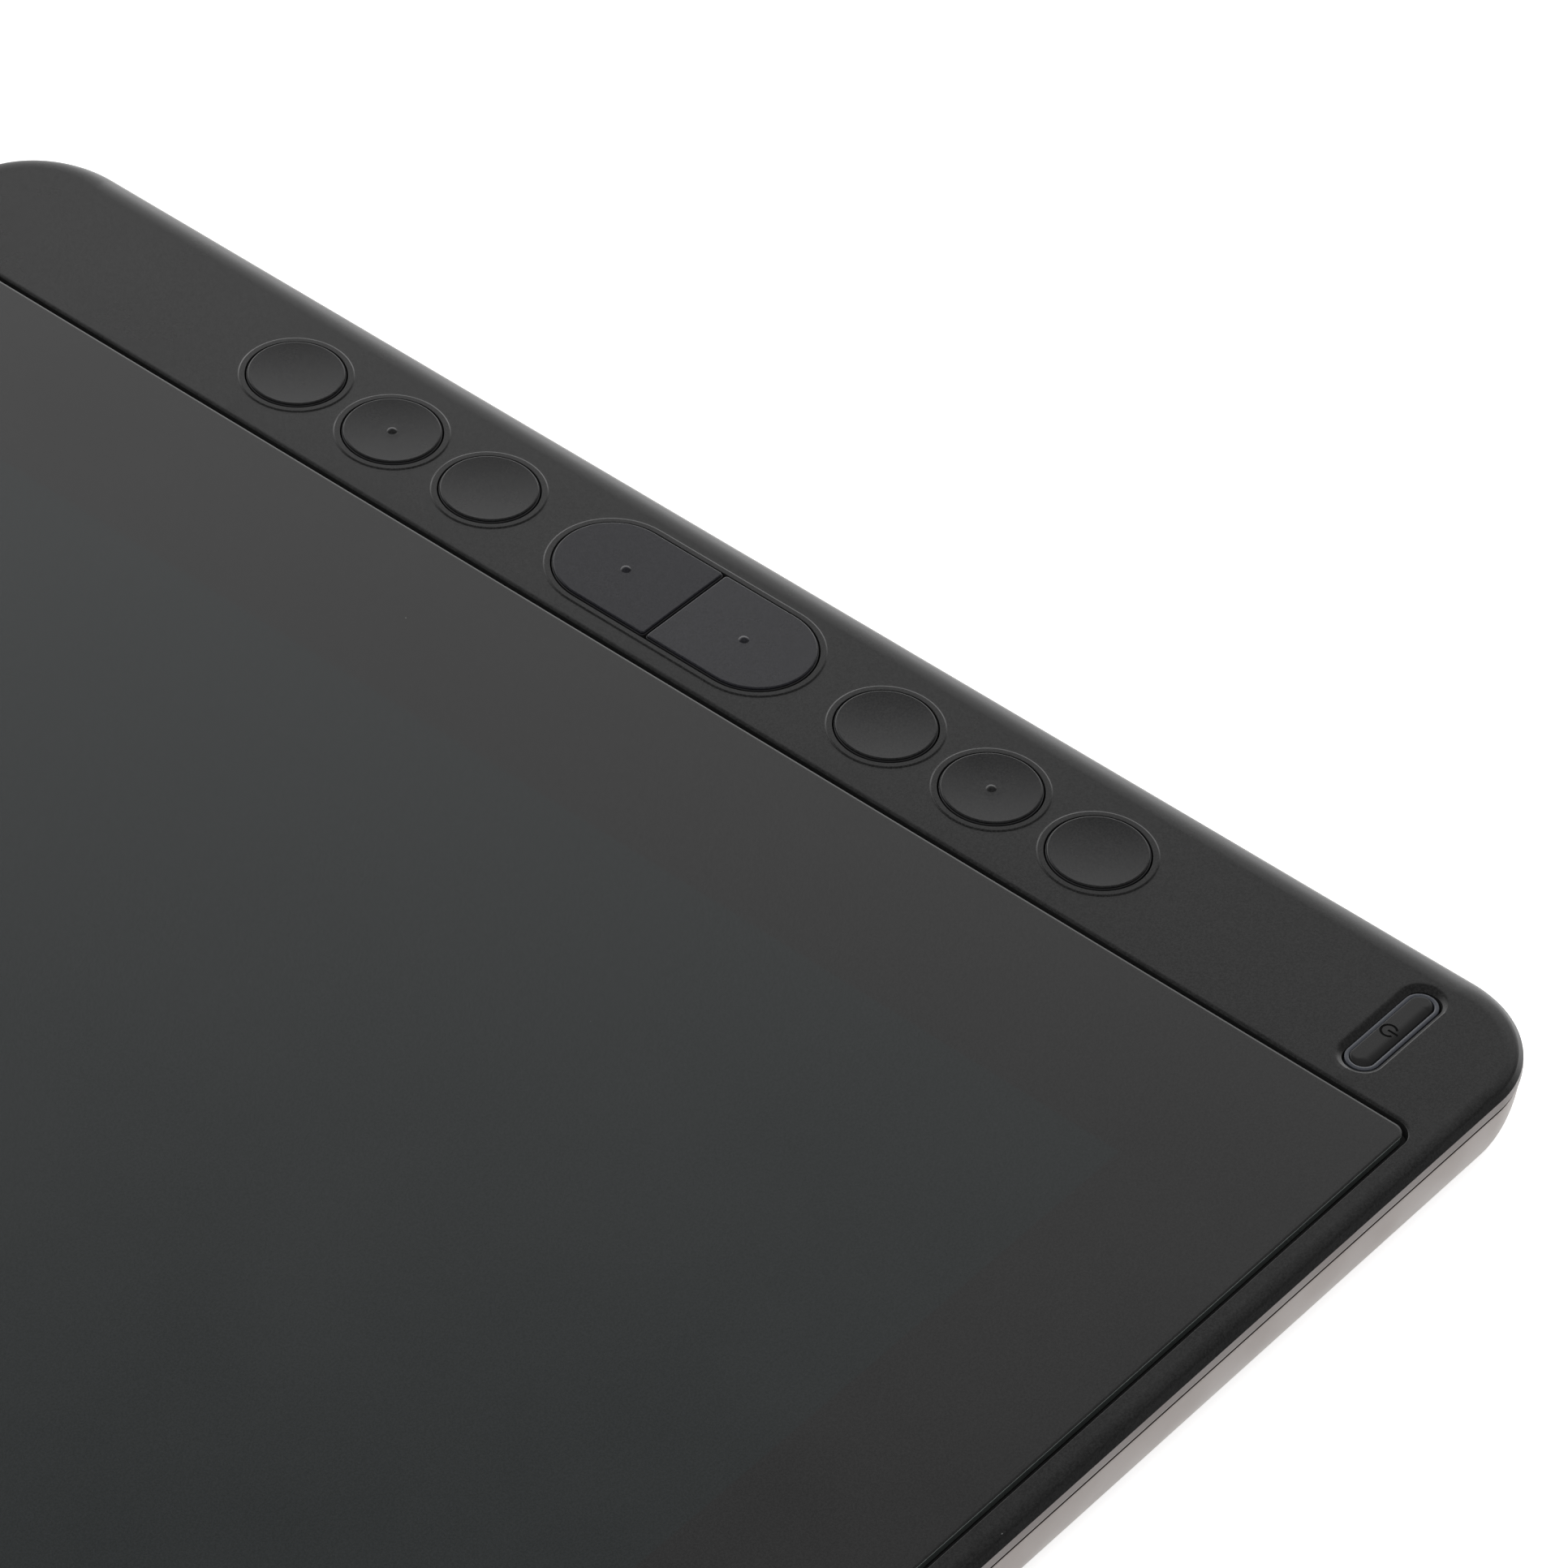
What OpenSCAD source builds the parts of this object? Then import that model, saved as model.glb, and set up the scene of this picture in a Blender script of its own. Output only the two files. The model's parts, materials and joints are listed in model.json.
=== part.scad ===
// Graphics tablet with a built-in screen: a flat two-shell housing, a bonded cover glass and panel,
// and a strip of press keys along one short side. The strip is at -X, the power key in the (-X, +Y)
// corner, and the drawing surface faces +Z. The origin is under the middle of the housing, where it rests.

/* [Housing] */
// Length of the housing along X
body_len = 364; // [340:1:400]
// Depth of the housing along Y
body_dep = 211.2; // [208:0.2:240]
// Height of the two shells together, without the feet
body_h = 11; // [11:0.1:13]
// Corner radius seen from above
corner_r = 12.5; // [9:0.5:16]
// Width of the rounded rim on the top shell
rim_w = 3.5; // [2.5:0.1:4]
// Height of the rounded rim on the top shell
rim_h = 2.15; // [1.9:0.05:2.4]
// How far the side of the bottom shell curves in below the rim
side_w = 3; // [1.5:0.1:3.5]
// Step in from the rim to the bottom shell at the parting line
parting_step = 0.15; // [0.05:0.05:0.3]
// Height of the shadow gap under the parting line
reveal_h = 0.4; // [0.2:0.05:0.5]
// Depth of that gap
reveal_w = 0.4; // [0.2:0.05:0.5]
// Side wall of the bottom shell
wall_t = 1.6; // [1.4:0.1:2]
// Floor of the bottom shell
floor_t = 1.4; // [1.2:0.1:1.8]
// Thickness of the top shell over the key strip
top_t = 1.8; // [1.6:0.1:2]
// Thickness of the inner lip that locates the shells
lip_t = 1; // [0.8:0.1:1.3]
// How far the inner lip reaches below the parting line
lip_h = 1.4; // [1:0.1:1.8]
// Ribs of the bottom shell
rib_t = 1.2; // [0.8:0.1:1.6]

/* [Screen] */
// Width of the key strip, from the housing's end to the glass
strip_w = 22.85; // [22.8:0.05:26]
// Rim of the housing beside the glass on the other three sides
rim_margin = 3.2; // [3:0.1:4]
// Open groove on three sides of the glass
groove_w = 0.85; // [0.6:0.05:1.4]
// Narrower groove between the key strip and the glass
strip_groove = 0.55; // [0.4:0.05:0.9]
// Rounding of the shell where it meets the groove
groove_fillet = 0.3; // [0.1:0.05:0.5]
// Radius of the two glass corners beside the key strip
glass_r = 1.45; // [0.5:0.05:3]
// Thickness of the cover glass
glass_t = 1.1; // [0.8:0.1:1.3]
// How far the glass lies below the top of the shell
glass_drop = 0.1; // [0:0.05:0.3]
// Width of the ledge that carries the glass
ledge_w = 6; // [5:0.5:6.5]
// Thickness of the ledge
ledge_t = 1; // [0.8:0.1:1.2]
// Thickness of the tape under the glass and of the clear bond on the panel
bond_t = 0.3; // [0.2:0.05:0.4]
// Distance from the glass edge to the picture on the key side
active_inset = 21.55; // [20:0.05:22]
// Distance from the picture to the glass edge at the other end
active_end = 21.75; // [20:0.05:24]
// Distance from the picture to the glass edge on the long sides
active_side = 18.95; // [18:0.05:22]
// Panel border on three sides
panel_border = 3; // [2.5:0.1:4]
// Panel border on the side with the driver film
driver_border = 8; // [7:0.1:8.5]
// Thickness of the panel
panel_t = 1.2; // [1:0.1:1.3]
// Thickness of one diffuser sheet
sheet_t = 0.13; // [0.1:0.01:0.15]
// Number of diffuser sheets
sheet_count = 3; // [2:1:4]
// Thickness of the light guide
guide_t = 1; // [0.8:0.1:1.1]
// Thickness of the reflector sheet
reflector_t = 0.2; // [0.1:0.05:0.25]
// Sheet metal of the backlight tray
tray_t = 0.3; // [0.2:0.05:0.4]
// Thickness of the pen sensor board
sensor_t = 0.8; // [0.6:0.1:0.9]
// Thickness of the shield plate
shield_t = 0.3; // [0.2:0.05:0.4]
// Number of lamps along the light guide
lamp_count = 24; // [12:1:32]

/* [Keys] */
// Distance from the housing's end to the key line
key_inset = 12.5; // [12:0.1:13]
// Radius of a round key cap
key_r = 5.3; // [4.5:0.1:5.5]
// Distance between round keys
key_pitch = 13.9; // [13.6:0.1:14.5]
// Distance from the end of the pill to the first round key
pill_gap = 5.75; // [5.5:0.05:7]
// Depth of the dish in a round key
dish_h = 0.16; // [0.1:0.02:0.5]
// Length of the pill shared by the two middle keys
pill_len = 32.4; // [30:0.2:33]
// Width of the pill
pill_w = 13.1; // [12:0.1:13.3]
// Gap between the two halves of the pill
pill_split = 0.4; // [0.3:0.05:0.6]
// Gap round each key
key_gap = 0.32; // [0.25:0.01:0.4]
// How far a key stands above the shell
key_rise = 0.36; // [0.2:0.02:0.5]
// Radius of the raised dot
dot_r = 0.58; // [0.4:0.02:0.8]
// Height of the raised dot
dot_h = 0.28; // [0.15:0.01:0.4]
// Width of the low raised border round a key hole
border_w = 0.7; // [0.5:0.05:0.8]
// Height of that border
border_h = 0.13; // [0.05:0.01:0.2]
// Width of the flange that stops a key against the shell
flange_w = 0.8; // [0.6:0.05:0.9]
// Thickness of that flange
flange_t = 0.6; // [0.4:0.1:0.7]
// Travel of a key
key_travel = 0.6; // [0.3:0.05:0.7]
// Play between a key's flange and the shell at rest
key_play = 0.1; // [0.05:0.01:0.15]

/* [Power key] */
// Distance from the housing's long side to the power key
power_inset = 13.5; // [12.6:0.1:17]
// Length of the sunk border round the power key
recess_len = 15.1; // [14.8:0.1:15.6]
// Width of the sunk border
recess_w = 4.95; // [4.8:0.05:5.4]
// Depth of the sunk border
recess_h = 0.3; // [0.15:0.05:0.5]
// Length of the light ring
ring_len = 13.5; // [13:0.1:13.6]
// Width of the light ring
ring_w = 3.75; // [3.6:0.05:3.8]
// Wall of the light ring
ring_t = 0.45; // [0.4:0.05:0.5]
// Gap between the light ring and the power key
ring_gap = 0.14; // [0.12:0.01:0.2]
// Travel of the power key
power_travel = 0.5; // [0.2:0.05:0.6]

/* [Feet and screws] */
// Height of the feet below the housing
foot_h = 0.8; // [0.6:0.1:1.5]
// Width of the rubber feet
foot_w = 8; // [7:0.5:8]
// Distance from the housing's end to the end of a foot along a long side
foot_long_end = 37; // [34:0.5:40]
// Distance from the housing's long side to the end of a foot along a short side
foot_short_end = 30.6; // [26:0.1:32]
// Depth of the recess that holds a foot
foot_recess = 0.5; // [0.3:0.1:0.6]
// Distance from the housing's edge to the middle of a foot
foot_inset = 7.6; // [7.5:0.1:8]
// Radius of a housing screw
screw_r = 1; // [0.8:0.05:1.1]
// Radius of its head
head_r = 1.7; // [1.6:0.05:1.8]
// Thickness of its head
head_h = 1; // [0.8:0.1:1.1]
// Radius of a small board screw
small_r = 0.7; // [0.6:0.05:0.8]

/* [Electronics] */
// Thickness of the circuit boards
board_t = 0.8; // [0.6:0.1:1]
// Length of the main board
main_len = 69; // [66:1:72]
// Depth of the main board
main_dep = 25.5; // [25:0.5:26]
// Height of the main board above the floor
main_lift = 0.8; // [0.6:0.1:0.9]
// Width of the mouth of a USB-C socket
usb_w = 8.34; // [8.34:0.01:8.4]
// Height of the mouth of a USB-C socket
usb_h = 2.56; // [2.56:0.01:2.6]
// Sheet metal of the socket
usb_t = 0.32; // [0.25:0.01:0.35]
// Length of the socket
usb_len = 7.3; // [6.5:0.1:8]
// Distance between the two sockets
usb_pitch = 11; // [10.6:0.1:11.5]
// Width of a key switch
switch_w = 4.5; // [4:0.1:5]
// Height of a key switch
switch_h = 1.2; // [1.1:0.1:1.3]
// Radius of a switch plunger
plunger_r = 0.9; // [0.7:0.05:1]
// How far a plunger stands above its switch
plunger_rise = 0.65; // [0.62:0.01:0.7]
// Thickness of the flat flexible cables
flex_t = 0.15; // [0.1:0.01:0.2]

/* [Hidden] */
$fn = 64;

// Small clearances and margins
fit = 0.1;
plunger_fit = 0.08;
air_film = 0.02;
cap_round = 0.15;
loose = 0.15;
cut = 1;
arc_steps = 8;

// Heights, from the surface the tablet stands on
z_top = foot_h + body_h;
z_part = z_top - rim_h;
z_floor = foot_h + floor_t;
z_recess = foot_h + foot_recess;
z_under = z_top - top_t;
z_glass = z_top - glass_drop - glass_t;
z_ledge = z_glass - bond_t;
z_panel = z_glass - bond_t - panel_t;
z_sheets = z_panel - sheet_t * sheet_count;
z_guide = z_sheets - guide_t;
z_reflector = z_guide - reflector_t;
z_tray = z_reflector - tray_t;
z_sensor = z_tray - sensor_t;
z_shield = z_sensor - shield_t;
z_main = z_floor + main_lift;
z_main_top = z_main + board_t;
z_cap = z_top + key_rise;
z_flange = z_under - key_play - flange_t;
stem_h = 0.6;
z_plunger = z_flange - stem_h;
z_switch = z_plunger - plunger_rise - switch_h;
z_keyboard = z_switch - board_t;
z_power_cap = z_top - recess_h;
z_ring_flange = z_under - flange_t;
z_power_flange = z_ring_flange - key_play - flange_t;
z_power_switch = z_power_flange - plunger_rise - switch_h;
z_power_board = z_power_switch - board_t;

// Places seen from above
key_x = -body_len / 2 + key_inset;
glass_x0 = -body_len / 2 + strip_w;
glass_x1 = body_len / 2 - rim_margin - groove_w;
glass_len = glass_x1 - glass_x0;
glass_dep = body_dep - 2 * (rim_margin + groove_w);
glass_x = (glass_x0 + glass_x1) / 2;
glass_far_r = corner_r - rim_margin - groove_w;
active_x0 = glass_x0 + active_inset;
active_len = glass_len - active_inset - active_end;
active_dep = glass_dep - 2 * active_side;
panel_x0 = active_x0 - panel_border;
panel_len = active_len + 2 * panel_border;
panel_x = panel_x0 + panel_len / 2;
panel_y0 = -active_dep / 2 - panel_border;
panel_dep = active_dep + panel_border + driver_border;
panel_y = panel_y0 + panel_dep / 2;
panel_y1 = panel_y0 + panel_dep;
sensor_border = 3;
sensor_x0 = panel_x0 - 2 * sensor_border;
ledge_r = 1.5;
groove_wall = 1.2;
sheet_inset = 0.4;
lamp_space = 2;
tray_wall = 0.5;
tray_rise = 0.3;
lip_inset = parting_step + wall_t + loose;
power_y = body_dep / 2 - power_inset;
foot_long = body_len - 2 * foot_long_end;
foot_short = body_dep - 2 * foot_short_end;
key_first = pill_len / 2 + pill_gap + key_r;
round_key_y = [for (side = [-1, 1]) for (i = [0:2]) side * (key_first + i * key_pitch)];
pill_key_y = [for (side = [-1, 1]) side * pill_len / 4];
key_hole_r = key_r + key_gap;
screw_long_x = [-0.36 * foot_long, 0.06 * foot_long, 0.42 * foot_long];
screw_short_y = 0.45 * foot_short;
screw_points = concat(
    [for (x = screw_long_x) for (side = [-1, 1]) [x, side * (body_dep / 2 - foot_inset)]],
    [for (side = [-1, 1]) for (end = [-1, 1]) [end * (body_len / 2 - foot_inset), side * screw_short_y]]);
boss_r = 2.4;
z_seat = z_recess + head_h + fit;
z_boss = z_seat + 2.6;
screw_len = 5.6;
small_head_r = 1.25;
small_head_h = 0.7;

// Key board and its posts
key_board_len = 2 * (key_first + 2 * key_pitch) + 2 * key_r + 5;
key_board_w = 15;
key_post_dy = [key_first - key_pitch / 2, key_first + 1.5 * key_pitch];
key_post_y = [for (side = [-1, 1]) for (dy = key_post_dy) side * dy];
post_r = 1.7;
small_screw_len = 2;

// Main board, from its corner at the sockets
main_x0 = -body_len / 2 + 5.5;
main_y1 = body_dep / 2 - 8.6;
main_y0 = main_y1 - main_dep;
usb_y1 = main_y0 + 4.5;
usb_y = [usb_y1, usb_y1 + usb_pitch];
usb_x0 = -body_len / 2 + 1;
z_usb = z_main_top + usb_t + usb_h / 2;
main_posts = [[7, main_dep - 4], [24, 2], [main_len - 2.5, 2.5], [main_len - 2.5, main_dep - 3]];
connector_h = 1.2;
z_connector = z_main_top + connector_h;
plug_w = 3;
display_plug = [0.6 * main_len, main_dep - 3 * plug_w, 8 * plug_w, plug_w];
sensor_plug = [0.38 * main_len, 0.2 * main_dep, plug_w, 4 * plug_w];
key_plug = [0.145 * main_len, 0.04 * main_dep, 10 / 3 * plug_w, 0.75 * plug_w];
power_plug = [0.26 * main_len, main_dep - 3 * plug_w, plug_w, plug_w];

// Chips on the main board, as shares of its length and depth and of their common height
chip_h = 1;
chips = [[0.63, 0.16, 0.13, 0.35, 1], [0.8, 0.2, 0.1, 0.27, 0.9], [0.175, 0.37, 0.087, 0.235, 0.9],
    [0.29, 0.27, 0.058, 0.157, 1.4], [0.45, 0.72, 0.072, 0.157, 1.2], [0.19, 0.76, 0.043, 0.118, 1]];
can = [0.58 * main_len, 0.1 * main_dep, 0.35 * main_len, 0.49 * main_dep, 1.6 * chip_h];

// Power board, hung from the top shell
power_post_y = [power_y - 6.2, power_y + 6.2];
power_board_len = 16.4;
power_board_w = 11;
power_board_x0 = usb_x0 + usb_len + 0.7;
lamp_dx = 4.5;
lamp_dy = 4;
lamp_h = 0.6;

// Rounded rectangle centred on the origin
module round_rect(len, dep, r) {
    square([len, dep - 2 * r], center = true);
    square([len - 2 * r, dep], center = true);
    for (x = [-1, 1]) for (y = [-1, 1]) translate([x * (len / 2 - r), y * (dep / 2 - r)]) circle(r);
}

// Rounded rectangle with one corner radius at -X and another at +X
module round_rect_2(len, dep, r1, r2) {
    for (half = [[-1, r1], [1, r2]]) intersection() {
        round_rect(len, dep, half[1]);
        translate([half[0] * len / 4, 0]) square([len / 2, dep], center = true);
    }
}

// Slot shape with round ends, along X
module slot_2d(len, w) {
    square([len - w, w], center = true);
    for (x = [-1, 1]) translate([x * (len - w) / 2, 0]) circle(w / 2);
}

module round_plate(len, dep, r, h) {
    linear_extrude(h) round_rect(len, dep, r);
}

// Box from its low corner
module box(x, y, z, len, dep, h) {
    translate([x, y, z]) cube([len, dep, h]);
}

// Solid whose edge follows a profile of [inset, height] points round a rounded rectangle
module rim_solid(len, dep, r, edge) {
    z0 = edge[0][1];
    z1 = edge[len(edge) - 1][1];
    outline = concat([[0, z0]], [for (p = edge) [r - p[0], p[1]]], [[0, z1]]);
    cx = len / 2 - r;
    cy = dep / 2 - r;
    box(-cx, -cy, z0, 2 * cx, 2 * cy, z1 - z0);
    for (side = [0, 1]) mirror([0, side, 0])
        translate([-cx, cy, 0]) rotate([90, 0, 90]) linear_extrude(2 * cx) polygon(outline);
    for (side = [0, 1]) mirror([side, 0, 0])
        translate([cx, cy, 0]) rotate([90, 0, 0]) linear_extrude(2 * cy) polygon(outline);
    for (turn = [0:3])
        translate([(turn == 0 || turn == 3 ? 1 : -1) * cx, (turn < 2 ? 1 : -1) * cy, 0])
            rotate([0, 0, 90 * turn]) rotate_extrude(angle = 90) polygon(outline);
}

// The same with one corner radius at -X and another at +X
module rim_solid_2(len, dep, r1, r2, edge) {
    for (half = [[-1, r1], [1, r2]]) intersection() {
        rim_solid(len, dep, half[1], edge);
        translate([half[0] * len / 2, 0, 0]) cube([len, 2 * dep, 4 * z_top], center = true);
    }
}

// Quarter ellipse from a vertical side up to a flat top, as [inset, height]
function rim_edge(w, h, z) = [for (i = [0:arc_steps]) let(t = 90 * i / arc_steps)
    [w * (1 - cos(t)), z - h + h * sin(t)]];
// Quarter ellipse from a flat bottom up to a vertical side, as [inset, height]
function side_edge(inset, w, z0, z1) = [for (i = [0:arc_steps]) let(t = 90 * (1 - i / arc_steps))
    [inset + w * (1 - cos(t)), z1 - (z1 - z0) * sin(t)]];
// Small rounding on the top edge of a key cap
function cap_edge(z0, z1, r) = concat([[0, z0]],
    [for (t = [0:30:90]) [r * (1 - cos(t)), z1 - r + r * sin(t)]]);

module at_keys(ys) {
    for (y = ys) translate([key_x, y, 0]) children();
}

module at_glass() {
    translate([glass_x, 0, 0]) children();
}

// Top shell: rim, key strip and the ledge under the glass
module window_cut() {
    w_len = glass_len + groove_w + strip_groove;
    w_dep = glass_dep + 2 * groove_w;
    f = groove_fillet;
    flare = [for (i = [0:4]) let(t = 22.5 * i) [-f * (1 - cos(t)), z_top - f + f * sin(t)]];
    at_glass() translate([(groove_w - strip_groove) / 2, 0, 0])
        rim_solid_2(w_len, w_dep, glass_r + strip_groove, glass_far_r + groove_w,
            concat([[0, z_ledge]], flare, [[-f, z_top + cut]]));
}

module key_borders() {
    slope = border_w / 2;
    r = key_hole_r + border_w;
    at_keys(round_key_y) rotate_extrude()
        polygon([[0, z_under], [r, z_under], [r, z_top], [r - slope, z_top + border_h],
            [0, z_top + border_h]]);
    margin = 2 * (key_gap + border_w);
    translate([key_x, 0, 0]) rotate([0, 0, 90])
        rim_solid(pill_len + margin, pill_w + margin, (pill_w + margin) / 2 - fit,
            [[0, z_under], [0, z_top], [slope, z_top + border_h]]);
}

module key_holes() {
    h = top_t + border_h + 2 * cut;
    at_keys(round_key_y) translate([0, 0, z_under - cut]) cylinder(r = key_hole_r, h = h);
    translate([key_x, 0, z_under - cut]) rotate([0, 0, 90]) linear_extrude(h)
        slot_2d(pill_len + 2 * key_gap, pill_w + 2 * key_gap);
}

module power_recess() {
    r = recess_w / 2 - 0.05;
    side = (recess_w - ring_w) / 2 - fit;
    slope = [for (t = [0:30:90]) [side * (1 - sin(t)), z_top - recess_h * cos(t)]];
    translate([key_x, power_y, 0]) {
        rim_solid(recess_len, recess_w, r, concat(slope, [[0, z_top + cut]]));
        translate([0, 0, z_under - cut]) linear_extrude(top_t + cut)
            slot_2d(ring_len + 2 * fit, ring_w + 2 * fit);
    }
}

module strip_pocket() {
    x0 = -body_len / 2 + lip_inset + lip_t;
    x1 = glass_x0 - groove_w - groove_wall;
    h = z_under - z_part + cut;
    r = corner_r - lip_inset - lip_t;
    depth = body_dep - 2 * (lip_inset + lip_t);
    intersection() {
        translate([0, 0, z_part - cut]) round_plate(-2 * x0, depth, r, h);
        box(x0, -depth / 2, z_part - cut, x1 - x0, depth, h);
    }
}

module top_shell() {
    lip_len = body_len - 2 * lip_inset;
    lip_dep = body_dep - 2 * lip_inset;
    lip_r = corner_r - lip_inset;
    ledge_bottom = z_ledge - ledge_t;
    color("dimgray") difference() {
        union() {
            difference() {
                rim_solid(body_len, body_dep, corner_r, rim_edge(rim_w, rim_h, z_top));
                strip_pocket();
            }
            key_borders();
            translate([0, 0, z_part - lip_h]) linear_extrude(lip_h) difference() {
                round_rect(lip_len, lip_dep, lip_r);
                round_rect(lip_len - 2 * lip_t, lip_dep - 2 * lip_t, lip_r - lip_t);
            }
            at_glass() translate([0, 0, ledge_bottom]) linear_extrude(ledge_t)
                round_rect_2(glass_len + 2 * groove_w, glass_dep + 2 * groove_w, glass_r + groove_w,
                    glass_far_r + groove_w);
            for (p = screw_points) translate([p[0], p[1], z_boss])
                cylinder(r = boss_r - 0.2, h = (p[0] < glass_x0 ? z_under : ledge_bottom) + fit - z_boss);
            for (y = power_post_y) translate([key_x, y, z_power_board + board_t])
                cylinder(r = post_r, h = z_under + fit - z_power_board - board_t);
        }
        window_cut();
        at_glass() translate([0, 0, ledge_bottom - cut])
            round_plate(glass_len - 2 * ledge_w, glass_dep - 2 * ledge_w, ledge_r, ledge_t + 2 * cut);
        key_holes();
        power_recess();
        for (p = screw_points) translate([p[0], p[1], z_boss - cut])
            cylinder(r = screw_r + 0.05, h = cut + screw_len - z_boss + z_seat + 0.3);
        for (y = power_post_y) translate([key_x, y, z_power_board + board_t - cut])
            cylinder(r = small_r + 0.05, h = cut + small_screw_len - board_t + 0.2);
    }
}

// Bottom shell: curved tray with ribs, screw bosses, board posts, foot recesses and socket holes
module foot_plan(len, spare) {
    round_rect(len + 2 * spare, foot_w + 2 * spare, foot_w / 2 + spare - 0.5);
}

module at_long_foot(side) {
    translate([0, side * (body_dep / 2 - foot_inset), 0]) children();
}

module at_short_foot(side) {
    translate([side * (body_len / 2 - foot_inset), 0, 0]) rotate([0, 0, 90]) children();
}

module foot_recesses() {
    for (side = [-1, 1]) {
        at_long_foot(side) foot_recess_cut(foot_long);
        at_short_foot(side) foot_recess_cut(foot_short);
    }
}

module foot_recess_cut(len) {
    translate([0, 0, foot_h - cut]) linear_extrude(cut + foot_recess) foot_plan(len, loose);
}

module ribs() {
    h = z_shield - z_floor;
    z = z_floor - fit;
    x0 = panel_x0 + 3;
    x1 = panel_x0 + panel_len - 3;
    y0 = panel_y0 + 3;
    y1 = panel_y1 - 6;
    board_x = main_x0 + main_len + 3;
    board_y = main_y0 - 3;
    for (y = [-0.85, -0.45, 0, 0.45]) box(x0, y * active_dep / 2 - rib_t / 2, z, x1 - x0, rib_t, h + fit);
    box(board_x, 0.85 * active_dep / 2 - rib_t / 2, z, x1 - board_x, rib_t, h + fit);
    for (i = [0:6]) {
        x = x0 + i * (x1 - x0) / 6;
        y_end = x < board_x ? board_y : y1;
        box(x - rib_t / 2, y0, z, rib_t, y_end - y0, h + fit);
    }
}

module socket_holes() {
    spare = 2 * (usb_t + loose);
    for (y = usb_y) translate([-body_len / 2 - cut, y, z_usb]) rotate([90, 0, 90])
        linear_extrude(cut + parting_step + side_w + wall_t) slot_2d(usb_w + spare, usb_h + spare);
}

module bottom_shell() {
    z_gap = z_part - reveal_h;
    gap = parting_step + reveal_w;
    inset = parting_step + wall_t;
    outer = concat(side_edge(parting_step, side_w, foot_h, z_gap), [[gap, z_gap], [gap, z_part]]);
    inner = concat(side_edge(inset, side_w, z_floor, z_part), [[inset, z_part + cut]]);
    color("dimgray") difference() {
        union() {
            difference() {
                rim_solid(body_len, body_dep, corner_r, outer);
                rim_solid(body_len, body_dep, corner_r, inner);
            }
            ribs();
            for (p = screw_points) translate([p[0], p[1], z_floor - fit])
                cylinder(r = boss_r, h = z_boss - z_floor + fit);
            at_keys(key_post_y) translate([0, 0, z_floor - fit])
                cylinder(r = post_r, h = z_keyboard - z_floor + fit);
            for (p = main_posts) translate([main_x0 + p[0], main_y0 + p[1], z_floor - fit])
                cylinder(r = post_r, h = main_lift + fit);
        }
        foot_recesses();
        socket_holes();
        for (p = screw_points) translate([p[0], p[1], 0]) {
            translate([0, 0, z_recess - cut]) cylinder(r = head_r + 0.2, h = cut + z_seat - z_recess);
            translate([0, 0, z_recess]) cylinder(r = screw_r + fit, h = z_boss - z_recess + cut);
        }
        at_keys(key_post_y) translate([0, 0, z_keyboard + board_t - small_screw_len - 0.2])
            cylinder(r = small_r + 0.05, h = small_screw_len + cut);
        for (p = main_posts) translate([main_x0 + p[0], main_y0 + p[1], z_main_top - small_screw_len - 0.2])
            cylinder(r = small_r + 0.05, h = small_screw_len + cut);
    }
}

// Screen stack, from the glass down
module screen_glass() {
    edge = 0.2;
    color("darkslategray") at_glass()
        rim_solid_2(glass_len, glass_dep, glass_r, glass_far_r, cap_edge(z_glass, z_glass + glass_t, edge));
}

module glass_tape() {
    color("black") at_glass() translate([0, 0, z_ledge]) linear_extrude(bond_t) difference() {
        round_rect_2(glass_len - 1, glass_dep - 1, glass_r, glass_far_r);
        round_rect(glass_len - 2 * ledge_w + 1, glass_dep - 2 * ledge_w + 1, ledge_r);
    }
}

module panel_sheet(z, t, inset) {
    translate([panel_x, panel_y, z]) linear_extrude(t)
        square([panel_len - 2 * inset, panel_dep - 2 * inset], center = true);
}

module bonding_layer() {
    color("lightgray") panel_sheet(z_glass - bond_t, bond_t, 0);
}

module lcd_panel() {
    color("darkslategray") panel_sheet(z_panel, panel_t, 0);
}

module diffuser_sheets() {
    color("whitesmoke") for (i = [0:sheet_count - 1])
        panel_sheet(z_sheets + i * sheet_t, sheet_t - air_film, sheet_inset);
}

module light_guide_plate() {
    color("lightcyan") box(panel_x0 + sheet_inset, panel_y0 + lamp_space, z_guide,
        panel_len - 2 * sheet_inset, panel_dep - sheet_inset - lamp_space, guide_t);
}

module reflector_sheet() {
    color("white") panel_sheet(z_reflector, reflector_t, sheet_inset);
}

module backlight_tray() {
    outer = tray_wall + fit;
    notch = display_plug[2] + 2;
    color("silver") difference() {
        panel_sheet(z_tray, z_panel + panel_t - tray_rise - z_tray, -outer);
        panel_sheet(z_reflector, z_panel + panel_t, -fit);
        box(main_x0 + display_plug[0] - 1, panel_y1 - cut, z_panel, notch, 2 * cut + outer, panel_t);
    }
}

module lamp_bar() {
    bar_t = 0.4;
    lamp_w = 2.8;
    lamp_d = 1.2;
    end = 5;
    pitch = (panel_len - 2 * end) / lamp_count;
    x = panel_x0 + end + (pitch - lamp_w) / 2;
    y = panel_y0 + fit;
    color("gold") {
        box(panel_x0 + 1, y, z_guide, panel_len - 2, bar_t, guide_t);
        for (i = [0:lamp_count - 1]) box(x + i * pitch, y + bar_t, z_guide, lamp_w, lamp_d, 0.8 * guide_t);
    }
}

module pen_sensor_board() {
    color("darkgreen") box(sensor_x0, panel_y0 - sensor_border, z_sensor,
        panel_len + 3 * sensor_border, panel_dep + sensor_border, sensor_t);
}

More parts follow.
